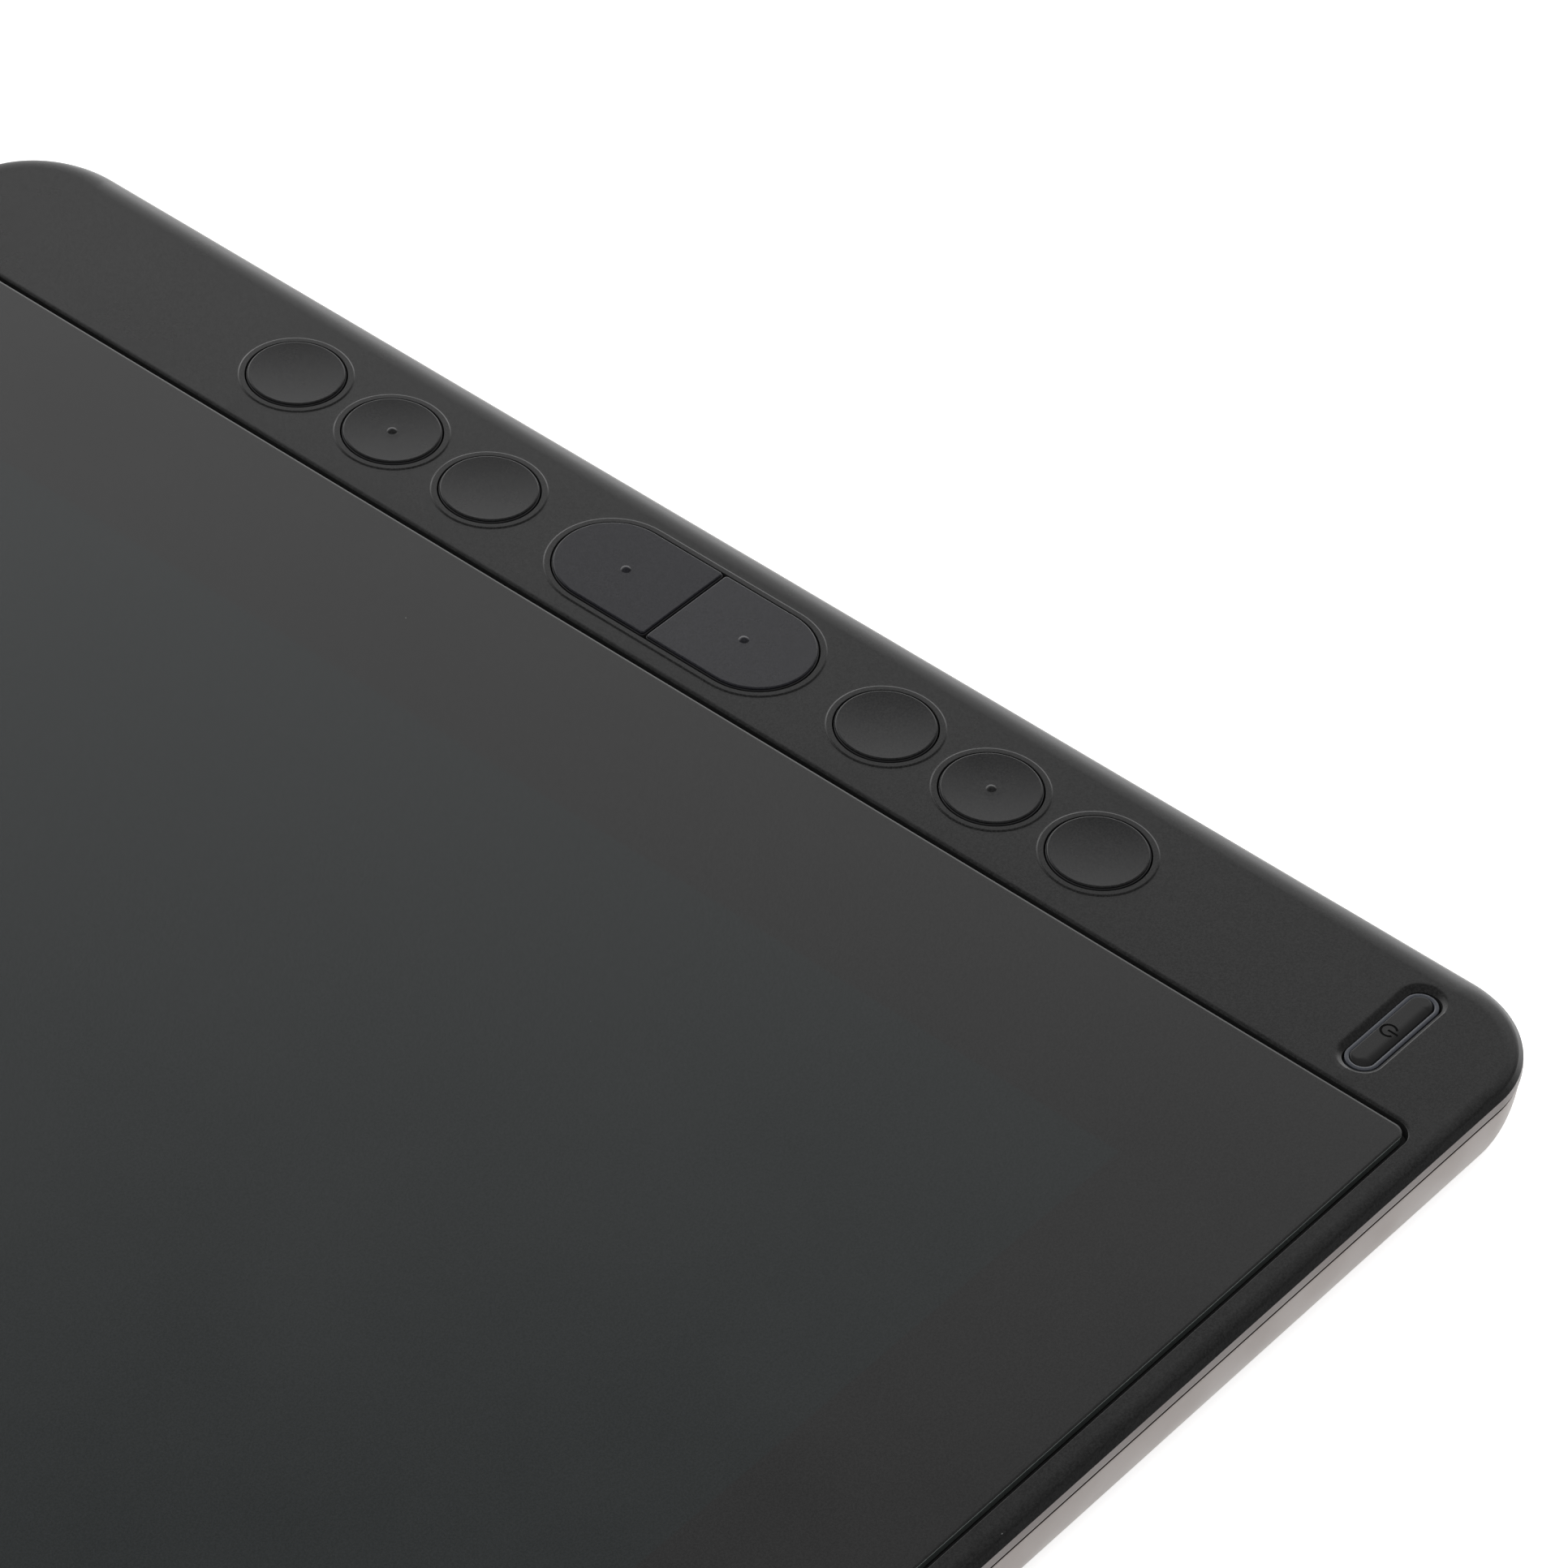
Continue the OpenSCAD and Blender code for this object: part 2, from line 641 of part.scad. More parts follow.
module shield_plate() {
    hole_r = 4;
    color("silver") difference() {
        translate([panel_x, panel_y, z_shield]) linear_extrude(shield_t)
            round_rect(panel_len - 1, panel_dep - 1, hole_r);
        for (i = [0:4]) translate([panel_x + (i - 2) * panel_len / 6, panel_y1 - 14, z_shield - cut])
            cylinder(r = hole_r, h = shield_t + 2 * cut);
    }
}

// Main board with its parts
module on_main(x, y, z) {
    translate([main_x0 + x, main_y0 + y, z]) children();
}

module board_hole(z) {
    translate([0, 0, z - cut]) cylinder(r = small_r + fit, h = board_t + 2 * cut);
}

module main_board() {
    color("darkgreen") difference() {
        on_main(main_len / 2, main_dep / 2, z_main) round_plate(main_len, main_dep, 1, board_t);
        for (p = main_posts) on_main(p[0], p[1], 0) board_hole(z_main);
    }
}

module board_chips() {
    color("black") for (c = chips) on_main(c[0] * main_len, c[1] * main_dep, z_main_top)
        cube([c[2] * main_len, c[3] * main_dep, c[4] * chip_h]);
}

module chip_shield_can() {
    sheet = 0.2;
    color("silver") on_main(can[0], can[1], z_main_top) difference() {
        cube([can[2], can[3], can[4]]);
        translate([sheet, sheet, -cut]) cube([can[2] - 2 * sheet, can[3] - 2 * sheet, can[4] - sheet + cut]);
    }
}

module usb_c_socket(y) {
    tongue_w = 6.7;
    tongue_h = 0.7;
    back = 1;
    color("silver") translate([usb_x0, y, z_usb]) rotate([90, 0, 90]) {
        difference() {
            linear_extrude(usb_len) slot_2d(usb_w + 2 * usb_t, usb_h + 2 * usb_t);
            translate([0, 0, -cut]) linear_extrude(usb_len - back + cut) slot_2d(usb_w, usb_h);
        }
        translate([-tongue_w / 2, -tongue_h / 2, 1]) cube([tongue_w, tongue_h, usb_len - back]);
    }
}

module usb_c_socket_1() {
    usb_c_socket(usb_y[0]);
}

module usb_c_socket_2() {
    usb_c_socket(usb_y[1]);
}

module board_connectors() {
    color("ivory") for (c = [display_plug, sensor_plug, key_plug, power_plug])
        on_main(c[0], c[1], z_main_top) cube([c[2], c[3], connector_h]);
}

// Flat cable along +Y that turns down and runs back under itself, as wide as w along X
module flex_back(reach_high, reach_low, z_high, z_low, w) {
    rotate([90, 0, 90]) linear_extrude(w) polygon([[-reach_high, z_high], [flex_t, z_high], [flex_t, z_low],
        [-reach_low, z_low], [-reach_low, z_low + flex_t], [0, z_low + flex_t], [0, z_high - flex_t],
        [-reach_high, z_high - flex_t]]);
}

// Flat cable along +Y that steps down and runs on
module flex_on(reach_high, reach_low, z_high, z_low, w) {
    rotate([90, 0, 90]) linear_extrude(w) polygon([[-reach_high, z_high], [flex_t, z_high],
        [flex_t, z_low + flex_t], [reach_low, z_low + flex_t], [reach_low, z_low], [0, z_low],
        [0, z_high - flex_t], [-reach_high, z_high - flex_t]]);
}

module display_flex() {
    out = 2.4;
    y = panel_y1 + out;
    plug_y = main_y0 + display_plug[1];
    color("orange") translate([main_x0 + display_plug[0], y, 0])
        flex_back(out, y - plug_y, z_panel + 0.4 * panel_t, z_connector, display_plug[2]);
}

module sensor_flex() {
    x = main_x0 + sensor_plug[0] - 1.5;
    lap = 3;
    color("orange") translate([x, main_y0 + sensor_plug[1], 0]) rotate([0, 0, 90])
        flex_back(sensor_x0 + lap - x, sensor_plug[2] + 1, z_sensor, z_connector, sensor_plug[3]);
}

module key_flex() {
    lap = 4;
    y = main_y0 - 3;
    plug_y = main_y0 + key_plug[1] + key_plug[3];
    color("orange") translate([main_x0 + key_plug[0], y, 0])
        flex_on(y - key_board_len / 2 + lap, plug_y - y, z_keyboard, z_connector, key_plug[2]);
}

module power_flex() {
    lap = 4;
    x = power_board_x0 + power_board_w + 1;
    plug_x = main_x0 + power_plug[0] + power_plug[2];
    color("orange") translate([x, main_y0 + power_plug[1] + power_plug[3], 0]) rotate([0, 0, -90])
        flex_on(lap, plug_x - x, z_power_board, z_connector, power_plug[3]);
}

// Key strip
module key_board() {
    color("darkgreen") difference() {
        translate([key_x, 0, z_keyboard]) round_plate(key_board_w, key_board_len, 1, board_t);
        at_keys(key_post_y) board_hole(z_keyboard);
    }
}

module switch_body(z) {
    base = 0.1;
    difference() {
        translate([-switch_w / 2, -switch_w / 2, z]) cube([switch_w, switch_w, switch_h]);
        translate([0, 0, z + base]) cylinder(r = plunger_r + plunger_fit, h = switch_h + cut);
    }
}

module plunger(z_top_end, travel) {
    low = z_top_end - plunger_rise - switch_h + travel + loose;
    translate([0, 0, low]) cylinder(r = plunger_r, h = z_top_end - low);
}

module key_switches() {
    color("gray") at_keys(concat(round_key_y, pill_key_y)) switch_body(z_switch);
}

module dot(z) {
    r = (dot_r * dot_r + dot_h * dot_h) / (2 * dot_h);
    intersection() {
        translate([0, 0, z + dot_h - r]) sphere(r);
        translate([0, 0, z - 0.5]) cylinder(r = dot_r, h = 0.5 + dot_h);
    }
}

module round_key(i, with_dot) {
    dish_r = (key_r * key_r + dish_h * dish_h) / (2 * dish_h);
    edge = cap_edge(z_flange + flange_t, z_cap, cap_round);
    outline = concat([[0, z_flange + flange_t]], [for (p = edge) [key_r - p[0], p[1]]], [[0, z_cap]]);
    color("dimgray") translate([key_x, round_key_y[i], 0]) {
        difference() {
            union() {
                rotate_extrude() polygon(outline);
                translate([0, 0, z_flange]) cylinder(r = key_r + flange_w, h = flange_t);
                translate([0, 0, z_plunger]) cylinder(r = 1.4, h = z_flange - z_plunger);
            }
            translate([0, 0, z_cap - dish_h + dish_r]) sphere(dish_r, $fn = 200);
        }
        if (with_dot) dot(z_cap - dish_h);
    }
}

module round_key_1() {
    round_key(0, false);
}

module round_key_2() {
    round_key(1, true);
}

module round_key_3() {
    round_key(2, false);
}

module round_key_4() {
    round_key(3, false);
}

module round_key_5() {
    round_key(4, true);
}

module round_key_6() {
    round_key(5, false);
}

module pill_key(i) {
    side = i == 0 ? -1 : 1;
    len = pill_len + 2 * flange_w;
    edge = cap_edge(z_flange + flange_t, z_cap, cap_round);
    color("dimgray") translate([key_x, 0, 0]) {
        intersection() {
            rotate([0, 0, 90]) union() {
                rim_solid(pill_len, pill_w, pill_w / 2 - fit, edge);
                translate([0, 0, z_flange]) linear_extrude(flange_t) slot_2d(len, pill_w + 2 * flange_w);
            }
            box(-pill_w, side < 0 ? -len : pill_split / 2, z_flange - cut, 2 * pill_w, len - pill_split / 2,
                z_cap - z_flange + 2 * cut);
        }
        translate([0, pill_key_y[i], z_plunger]) cylinder(r = 1.4, h = z_flange - z_plunger);
        translate([0, pill_key_y[i], 0]) dot(z_cap);
    }
}

module pill_key_1() {
    pill_key(0);
}

module pill_key_2() {
    pill_key(1);
}

module key_plunger(y) {
    color("ivory") translate([key_x, y, 0]) plunger(z_plunger, key_travel);
}

module round_plunger_1() {
    key_plunger(round_key_y[0]);
}

module round_plunger_2() {
    key_plunger(round_key_y[1]);
}

module round_plunger_3() {
    key_plunger(round_key_y[2]);
}

module round_plunger_4() {
    key_plunger(round_key_y[3]);
}

module round_plunger_5() {
    key_plunger(round_key_y[4]);
}

module round_plunger_6() {
    key_plunger(round_key_y[5]);
}

module pill_plunger_1() {
    key_plunger(pill_key_y[0]);
}

module pill_plunger_2() {
    key_plunger(pill_key_y[1]);
}

// Power key in its light ring
module at_power() {
    translate([key_x, power_y, 0]) children();
}

module power_key() {
    len = ring_len - 2 * (ring_t + ring_gap);
    w = ring_w - 2 * (ring_t + ring_gap);
    top = z_power_cap + 0.02;
    color("dimgray") at_power() {
        rim_solid(len, w, w / 2 - 0.05, cap_edge(z_power_flange + flange_t, top, 0.25));
        translate([0, 0, z_power_flange]) linear_extrude(flange_t) slot_2d(ring_len + 0.6, ring_w + 0.6);
    }
}

module power_plunger() {
    color("ivory") at_power() plunger(z_power_flange, power_travel);
}

module power_light_ring() {
    pipe_r = 0.8;
    z_pipe = z_power_switch + lamp_h + 0.3;
    flange = 2 * 0.9;
    proud = 0.03;
    color("lightsteelblue") at_power() difference() {
        union() {
            translate([0, 0, z_ring_flange]) linear_extrude(z_power_cap + proud - z_ring_flange)
                slot_2d(ring_len, ring_w);
            translate([0, 0, z_ring_flange]) linear_extrude(flange_t)
                slot_2d(ring_len + flange, ring_w + flange);
            box(lamp_dx - 1.5 * pipe_r, 0, z_ring_flange, 3 * pipe_r, lamp_dy + pipe_r, flange_t);
            translate([lamp_dx, lamp_dy, z_pipe]) cylinder(r = pipe_r, h = z_ring_flange + fit - z_pipe);
        }
        translate([0, 0, z_ring_flange - cut]) linear_extrude(top_t + flange_t + 2 * cut)
            slot_2d(ring_len - 2 * ring_t, ring_w - 2 * ring_t);
    }
}

module power_board() {
    color("darkgreen") difference() {
        translate([power_board_x0, power_y - power_board_len / 2, z_power_board])
            cube([power_board_w, power_board_len, board_t]);
        at_keys(power_post_y) board_hole(z_power_board);
    }
}

module power_switch() {
    color("gray") at_power() switch_body(z_power_switch);
}

module power_lamp() {
    color("white") at_power() box(lamp_dx - 0.8, lamp_dy - 0.5, z_power_switch, 1.6, 1, lamp_h);
}

// Fasteners and feet
module screw(r, head, h_head, len) {
    drive_r = 0.45 * head;
    difference() {
        union() {
            translate([0, 0, -h_head]) cylinder(r = head, h = h_head);
            cylinder(r = r, h = len);
        }
        translate([0, 0, -h_head - cut]) cylinder(r = drive_r, h = cut + 0.5 * h_head, $fn = 6);
    }
}

module shell_screws() {
    color("silver") for (p = screw_points) translate([p[0], p[1], z_seat])
        screw(screw_r, head_r, head_h, screw_len);
}

module board_screw() {
    screw(small_r, small_head_r, small_head_h, small_screw_len);
}

module board_screws() {
    color("silver") {
        at_keys(key_post_y) translate([0, 0, z_keyboard + board_t]) mirror([0, 0, 1]) board_screw();
        for (p = main_posts) on_main(p[0], p[1], z_main_top) mirror([0, 0, 1]) board_screw();
        at_keys(power_post_y) translate([0, 0, z_power_board]) board_screw();
    }
}

module foot(len) {
    linear_extrude(foot_h + foot_recess) foot_plan(len, 0);
}

module foot_long_1() {
    color("black") at_long_foot(1) foot(foot_long);
}

module foot_long_2() {
    color("black") at_long_foot(-1) foot(foot_long);
}

module foot_short_1() {
    color("black") at_short_foot(-1) foot(foot_short);
}

module foot_short_2() {
    color("black") at_short_foot(1) foot(foot_short);
}

top_shell();
bottom_shell();
screen_glass();
glass_tape();
bonding_layer();
lcd_panel();
diffuser_sheets();
light_guide_plate();
reflector_sheet();
backlight_tray();
lamp_bar();
pen_sensor_board();
shield_plate();
main_board();
board_chips();
chip_shield_can();
usb_c_socket_1();
usb_c_socket_2();
board_connectors();
display_flex();
sensor_flex();
key_flex();
power_flex();
key_board();
key_switches();
round_key_1();
round_key_2();
round_key_3();
round_key_4();
round_key_5();
round_key_6();
pill_key_1();
pill_key_2();
round_plunger_1();
round_plunger_2();
round_plunger_3();
round_plunger_4();
round_plunger_5();
round_plunger_6();
pill_plunger_1();
pill_plunger_2();
power_key();
power_plunger();
power_light_ring();
power_board();
power_switch();
power_lamp();
shell_screws();
board_screws();
foot_long_1();
foot_long_2();
foot_short_1();
foot_short_2();
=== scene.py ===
import json
import math

import bmesh
import bpy
from mathutils import Matrix, Vector


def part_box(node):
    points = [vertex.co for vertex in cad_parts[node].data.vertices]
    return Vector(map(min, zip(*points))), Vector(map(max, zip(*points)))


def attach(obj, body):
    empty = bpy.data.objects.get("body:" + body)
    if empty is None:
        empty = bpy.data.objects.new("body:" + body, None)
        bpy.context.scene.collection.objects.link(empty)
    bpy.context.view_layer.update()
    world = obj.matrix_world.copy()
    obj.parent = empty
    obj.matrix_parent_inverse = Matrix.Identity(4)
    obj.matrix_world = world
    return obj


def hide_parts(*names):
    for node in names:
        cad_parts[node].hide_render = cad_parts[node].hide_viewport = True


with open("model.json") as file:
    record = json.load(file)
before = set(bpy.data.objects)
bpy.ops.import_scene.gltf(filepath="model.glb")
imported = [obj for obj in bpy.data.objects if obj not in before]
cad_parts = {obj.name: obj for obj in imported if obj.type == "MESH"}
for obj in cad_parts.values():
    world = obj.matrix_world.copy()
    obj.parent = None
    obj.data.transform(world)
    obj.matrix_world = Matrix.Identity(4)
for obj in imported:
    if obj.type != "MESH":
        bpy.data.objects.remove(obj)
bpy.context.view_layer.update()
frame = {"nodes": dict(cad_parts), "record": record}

# All shapes below are written in millimetres, in the frame of the CAD model
MM = 0.001


def node_box(name):
    """Lowest and highest corner of a CAD node"""
    low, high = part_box(name)
    return low / MM, high / MM


# Camera, fitted to the straight edges and the key circles of the photograph
CAMERA_PLACE = (283.155, 351.202, 513.045)
CAMERA_RIGHT = (-0.6376758, 0.768082, 0.0584777)
CAMERA_UP = (-0.4933937, -0.4655623, 0.7347206)
CAMERA_BACK = (0.5915507, 0.4396611, 0.6758446)
SENSOR = 36.0
PHOTO_PIXELS = 1932
FOCAL_PIXELS = 8952.334


def make_camera():
    data = bpy.data.cameras.new("camera")
    data.sensor_width = SENSOR
    data.lens = FOCAL_PIXELS / PHOTO_PIXELS * SENSOR
    data.clip_start = 0.01
    data.clip_end = 50
    camera = bpy.data.objects.new("camera", data)
    bpy.context.scene.collection.objects.link(camera)
    axes = Matrix((CAMERA_RIGHT, CAMERA_UP, CAMERA_BACK)).transposed().to_4x4()
    camera.matrix_world = Matrix.Translation(Vector(CAMERA_PLACE) * MM) @ axes
    bpy.context.scene.camera = camera


make_camera()

# Heights of the top shell: top and underside of its plate, parting line, ledge under the glass, end of the lip
Z_TOP = 11.8
Z_UNDER = 10.0
Z_PART = 9.65
Z_LEDGE = 10.3
Z_LIP = 8.25

# Heights of the bottom shell: underside and inner floor
Z_BASE = 0.8
Z_FLOOR = 2.2

# Heights of the glass and the keys: underside of the glass, then lower end of the stem, flange and top of a key
Z_GLASS = 10.6
Z_STEM = 8.7
Z_FLANGE = 9.3
Z_CAP = 12.16

# Plan of the housing, as half its length, half its depth and the radius of its corners
BODY_X, BODY_Y = node_box("top_shell")[1].xy
BODY_R = 12.5

# Rim of the top shell: where it meets the flat top on each pair of sides, and the height of the band under it
RIM_LONG = 1.98
RIM_SHORT = 4.1
BAND_H = 1.28
# Side of the band, as height above the parting line and inset on the short and on the long sides
BAND_SECTION = ((0, 0.08, 0.08), (0.02, 0.02, 0.02), (0.08, 0, 0), (0.4, 0.19, 0), (0.8, 0.42, 0))
# Rim of the long sides, as bends that each go from one slope to another over a length
LONG_RIM_BENDS = ((0, 4, 0.6), (4, 10, 0.55), (10, 50, 0.42), (50, 50, 0.74))
# Half width of the ellipse of the short sides' rim
SHORT_RIM_W = 3.95
# Width of the flat rings that keep the shading of the top even, inside the rim and round each opening
RIM_FLAT = 0.25
FLAT = 0.4
# Distance from the sides of the housing within which no key hole lies
KEYS_IN = 5

# Lip inside the top shell, as inset and thickness, and the pocket under the key strip
LIP_IN = 1.9
LIP_T = 1.0
LIP_SPARE = 0.2
POCKET_R = 0.5
POCKET_WALL = 1.2

# Glass and the groove round it, which is narrower and rolled more beside the key strip
glass_low, glass_high = node_box("screen_glass")
GROOVE = 0.85
STRIP_GROOVE = 0.5
SIDE_ROLL = 0.06
STRIP_ROLL = 0.5
STRIP_DROP = 0.12
WINDOW_SPARE_R = 0.4
GLASS_R = 1.45
GLASS_FAR_R = 8.45
LEDGE_W = 6.0
LEDGE_R = 1.5
GLASS_CHAMFER = 0.1
# Painted highlight: a pale line at the top of the glass's side, by its depths under the face
GLASS_HIGHLIGHT = (0.16, 0.055)
# Roll at the edge of the face and the face itself, as inset and depth
GLASS_FACE = ((0.015, 0.05), (0.2, 0.003), (0.23, 0), (0.6, 0))

# Bottom shell: how far it stands in under the top shell, width of its curved side, wall, height and width of the
# dark line under the top shell, and rounding of the edge under that line
STEP = 0.15
SIDE_W = 3.0
WALL = 1.6
REVEAL_H = 0.54
REVEAL_W = 0.4
EDGE_ROUND = 0.05
# Sockets in the short side, the room round each, and how far their openings reach out and in
SOCKETS = ("usb_c_socket_1", "usb_c_socket_2")
SOCKET_SPARE = 0.3
SOCKET_OUT = 2
SOCKET_IN = 8

# Feet, and their recesses in the bottom shell
FEET = ("foot_long_1", "foot_long_2", "foot_short_1", "foot_short_2")
FOOT_R = 3.5
FOOT_SPARE = 0.15
FOOT_RECESS = 0.5
RECESS_CHAMFER = 0.1
FOOT_SECTION = ((0.35, 0), (0.1, 0.08), (0, 0.3), (0, Z_BASE + FOOT_RECESS))

# Round keys and pill: middle line of the strip, radius of a round key, gap round each cap, flange, stem, edge of
# the cap, raised dot with its root in the cap, and the pill with the corners at its split
KEY_X = -169.5
KEY_R = 5.3
KEY_GAP = 0.27
FLANGE_W = 0.8
FLANGE_T = 0.6
STEM_R = 1.4
CAP_ROUND = 0.18
CAP_EDGE_DROP = 0.01
DOT_R = 0.58
DOT_H = 0.28
DOT_ROOT = 0.15
PILL_LEN = 32.4
PILL_W = 13.1
PILL_SPLIT = 0.4
PILL_CORNER = 0.4
PILL_CORNER_MIN = 0.05
ROUND_KEYS = [f"round_key_{i}" for i in range(1, 7)]
DOTTED_KEYS = ("round_key_2", "round_key_5")
# Dish in the top of a round key: depth, distance from the rounded edge, and radius of its flat middle
DISH_H = 0.16
DISH_IN = 0.08
DISH_MIDDLE = 0.3
DISH_MIDDLE_DOTTED = 1.2
# Small ledge that a cap stands on and that shows in the gap, as reach beyond the cap and height
KEY_LEDGE = ((0.1, Z_FLANGE + FLANGE_T), (0.1, Z_TOP + 0.08), (0.08, Z_TOP + 0.1), (0, Z_TOP + 0.1))

# Raised border round each key hole: width and height, start and width of its soft rise, and inner rounding
BORDER_W = 0.75
BORDER_H = 0.105
BORDER_START = -0.06
BORDER_SWELL = 0.24
BORDER_ROUND = 0.07

# Power key and the light ring round it: place, depth of both under the top, the ring's size and thickness, gap
# between the two, reach of the ring under the key, its flange and the shape of its top, and the key's flange
POWER_Y = 92.1
RECESS_H = 0.3
RING_LEN = 13.5
RING_W = 3.75
RING_T = 0.45
RING_GAP = 0.14
RING_UNDER = 0.05
RING_FLANGE = 0.9
RING_CREST = 0.25
RING_RISE = 0.14
RING_TOP = Z_TOP - RECESS_H + 0.03
POWER_TOP = Z_TOP - RECESS_H + 0.02
POWER_FLANGE = 0.3
POWER_FLANGE_DOWN = 0.1
# Top of the power key, as share of the way in from its edge and drop under its flat middle
POWER_SLOPE = ((0, 0.45), (0.06, 0.36), (0.14, 0.26), (0.24, 0.165), (0.36, 0.095), (0.5, 0.047),
               (0.66, 0.019), (0.82, 0.005), (1, 0))
# Start and width of that slope on the far side, its width on the side near the corner of the housing, and the
# share of the drop on the far side
SLOPE_START = -0.07
SLOPE_FAR_W = 0.16
SLOPE_NEAR_W = 1.15
SLOPE_FAR_DROP = 0.1

# Sunk ramp round the light ring, with the insets of its two ends on the far side and on the side near the corner
RECESS_LEN = 15.1
RECESS_W = 4.95
MOAT_FLAT = FLAT + 0.2
MOAT_FAR = (-0.4, 0.5)
MOAT_NEAR = (0, 0.34)
MOAT_H = 0.45
MOAT_NEAR_H = 0.1
MOAT_STEP = 0.05
# Share of the way in, and of the depth on the far side and on the side near the corner
MOAT_RAMP = ((0, 0, 0), (0.15, 0.02, 0.35), (0.3, 0.09, 0.65), (0.45, 0.24, 0.85), (0.7, 0.62, 0.95),
             (0.85, 0.85, 1), (1, 1, 1))

# Standby sign: middle and depth, radius and half width of its open ring, where that starts and how far it turns
# in degrees, and the two ends of the bar
SIGN_X = KEY_X + 0.14
SIGN_Y = POWER_Y - 0.29
SIGN_DEPTH = 0.1
SIGN_R = 0.82
SIGN_HALF = 0.13
SIGN_START = 125
SIGN_TURN = 290
SIGN_BAR = (-0.1, 1.1)

# Fineness of the meshes
CORNER_STEPS = 28
CIRCLE_STEPS = 112
DOT_STEPS = 40
ROUND_STEPS = 8
DISH_STEPS = 24
DOME_STEPS = 10
SIGN_STEPS = 40
SIDE_STEPS = 40
INNER_STEPS = 20
BEND_STEPS = 15
RIM_STEPS = BEND_STEPS * len(LONG_RIM_BENDS)
SMALLEST_R = 0.02
SHARP_ANGLE = 27
# Margin of the tests that tell faces apart, and how far a cutter reaches past what it cuts
NEAR = 0.01
CUT_PAST = 1


# Outlines seen from above, as closed lists of points
def arc(cx, cy, r, start, turn, steps):
    """Arc that starts at an angle in degrees and goes on by a turn"""
    angles = [math.radians(start + turn * i / steps) for i in range(steps + 1)]
    return [(cx + r * math.cos(a), cy + r * math.sin(a)) for a in angles]


def rect_outline(low, high, r_high, r_low, inset):
    """Rounded rectangle with one corner radius at +X and another at -X"""
    x0, y0, x1, y1 = low[0] + inset, low[1] + inset, high[0] - inset, high[1] - inset
    a, b = max(r_high - inset, SMALLEST_R), max(r_low - inset, SMALLEST_R)
    return (arc(x1 - a, y1 - a, a, 0, 90, CORNER_STEPS)
            + arc(x0 + b, y1 - b, b, 90, 90, CORNER_STEPS)
            + arc(x0 + b, y0 + b, b, 180, 90, CORNER_STEPS)
            + arc(x1 - a, y0 + a, a, 270, 90, CORNER_STEPS))


def slot_outline(cx, cy, length, width):
    """Slot with round ends, along Y"""
    r, half = width / 2, (length - width) / 2
    return (arc(cx, cy + half, r, 0, 180, CORNER_STEPS)
            + arc(cx, cy - half, r, 180, 180, CORNER_STEPS))


def power_slot(length, width):
    """Slot with round ends, along X, round the middle of the power key"""
    return [(KEY_X - y, POWER_Y + x) for x, y in slot_outline(0, 0, length, width)]


def circle_outline(cx, cy, r, steps=CIRCLE_STEPS):
    return arc(cx, cy, r, 0, 360, steps)[:-1]


def half_pill_outline(side, inset, grow=0.0):
    """One half of the pill: a half circle at the end and two small corners at the split"""
    r = PILL_W / 2 + grow - inset
    centre = PILL_LEN / 2 - PILL_W / 2
    split = PILL_SPLIT / 2 + inset
    c = max(PILL_CORNER - inset, PILL_CORNER_MIN)
    points = (arc(0, centre, r, 0, 180, 2 * CORNER_STEPS)
              + arc(c - r, split + c, c, 180, 90, ROUND_STEPS)
              + arc(r - c, split + c, c, 270, 90, ROUND_STEPS))
    return [(KEY_X + x, side * y) for x, y in points]


# Section lines, as [inset, height]
def quarter_turn(steps):
    """Angles from 0 to 90 degrees, in radians"""
    return [math.radians(90 * i / steps) for i in range(steps + 1)]


def quarter(inset, z, width, height):
    """Quarter ellipse from a vertical side at [inset, z] to a flat top"""
    return [(inset + width * (1 - math.cos(a)), z + height * math.sin(a)) for a in quarter_turn(ROUND_STEPS)]


def swell(inset, z, width, height):
    """Soft step from one flat height to another"""
    shares = [i / ROUND_STEPS for i in range(ROUND_STEPS + 1)]
    return [(inset + width * u, z + height * (0.5 - 0.5 * math.cos(math.pi * u))) for u in shares]


def bent_line(inset, z, bends):
    """Line going outwards, in lengths that each turn from one slope in degrees to another"""
    points = [(inset, z)]
    for first, last, length in bends:
        for i in range(BEND_STEPS):
            slope = math.radians(first + (last - first) * (i + 0.5) / BEND_STEPS)
            inset -= length / BEND_STEPS * math.cos(slope)
            z -= length / BEND_STEPS * math.sin(slope)
            points.append((inset, z))
    return points


def ball_radius(r, height):
    """Radius of the ball whose cap has this radius and height"""
    return (r ** 2 + height ** 2) / (2 * height)


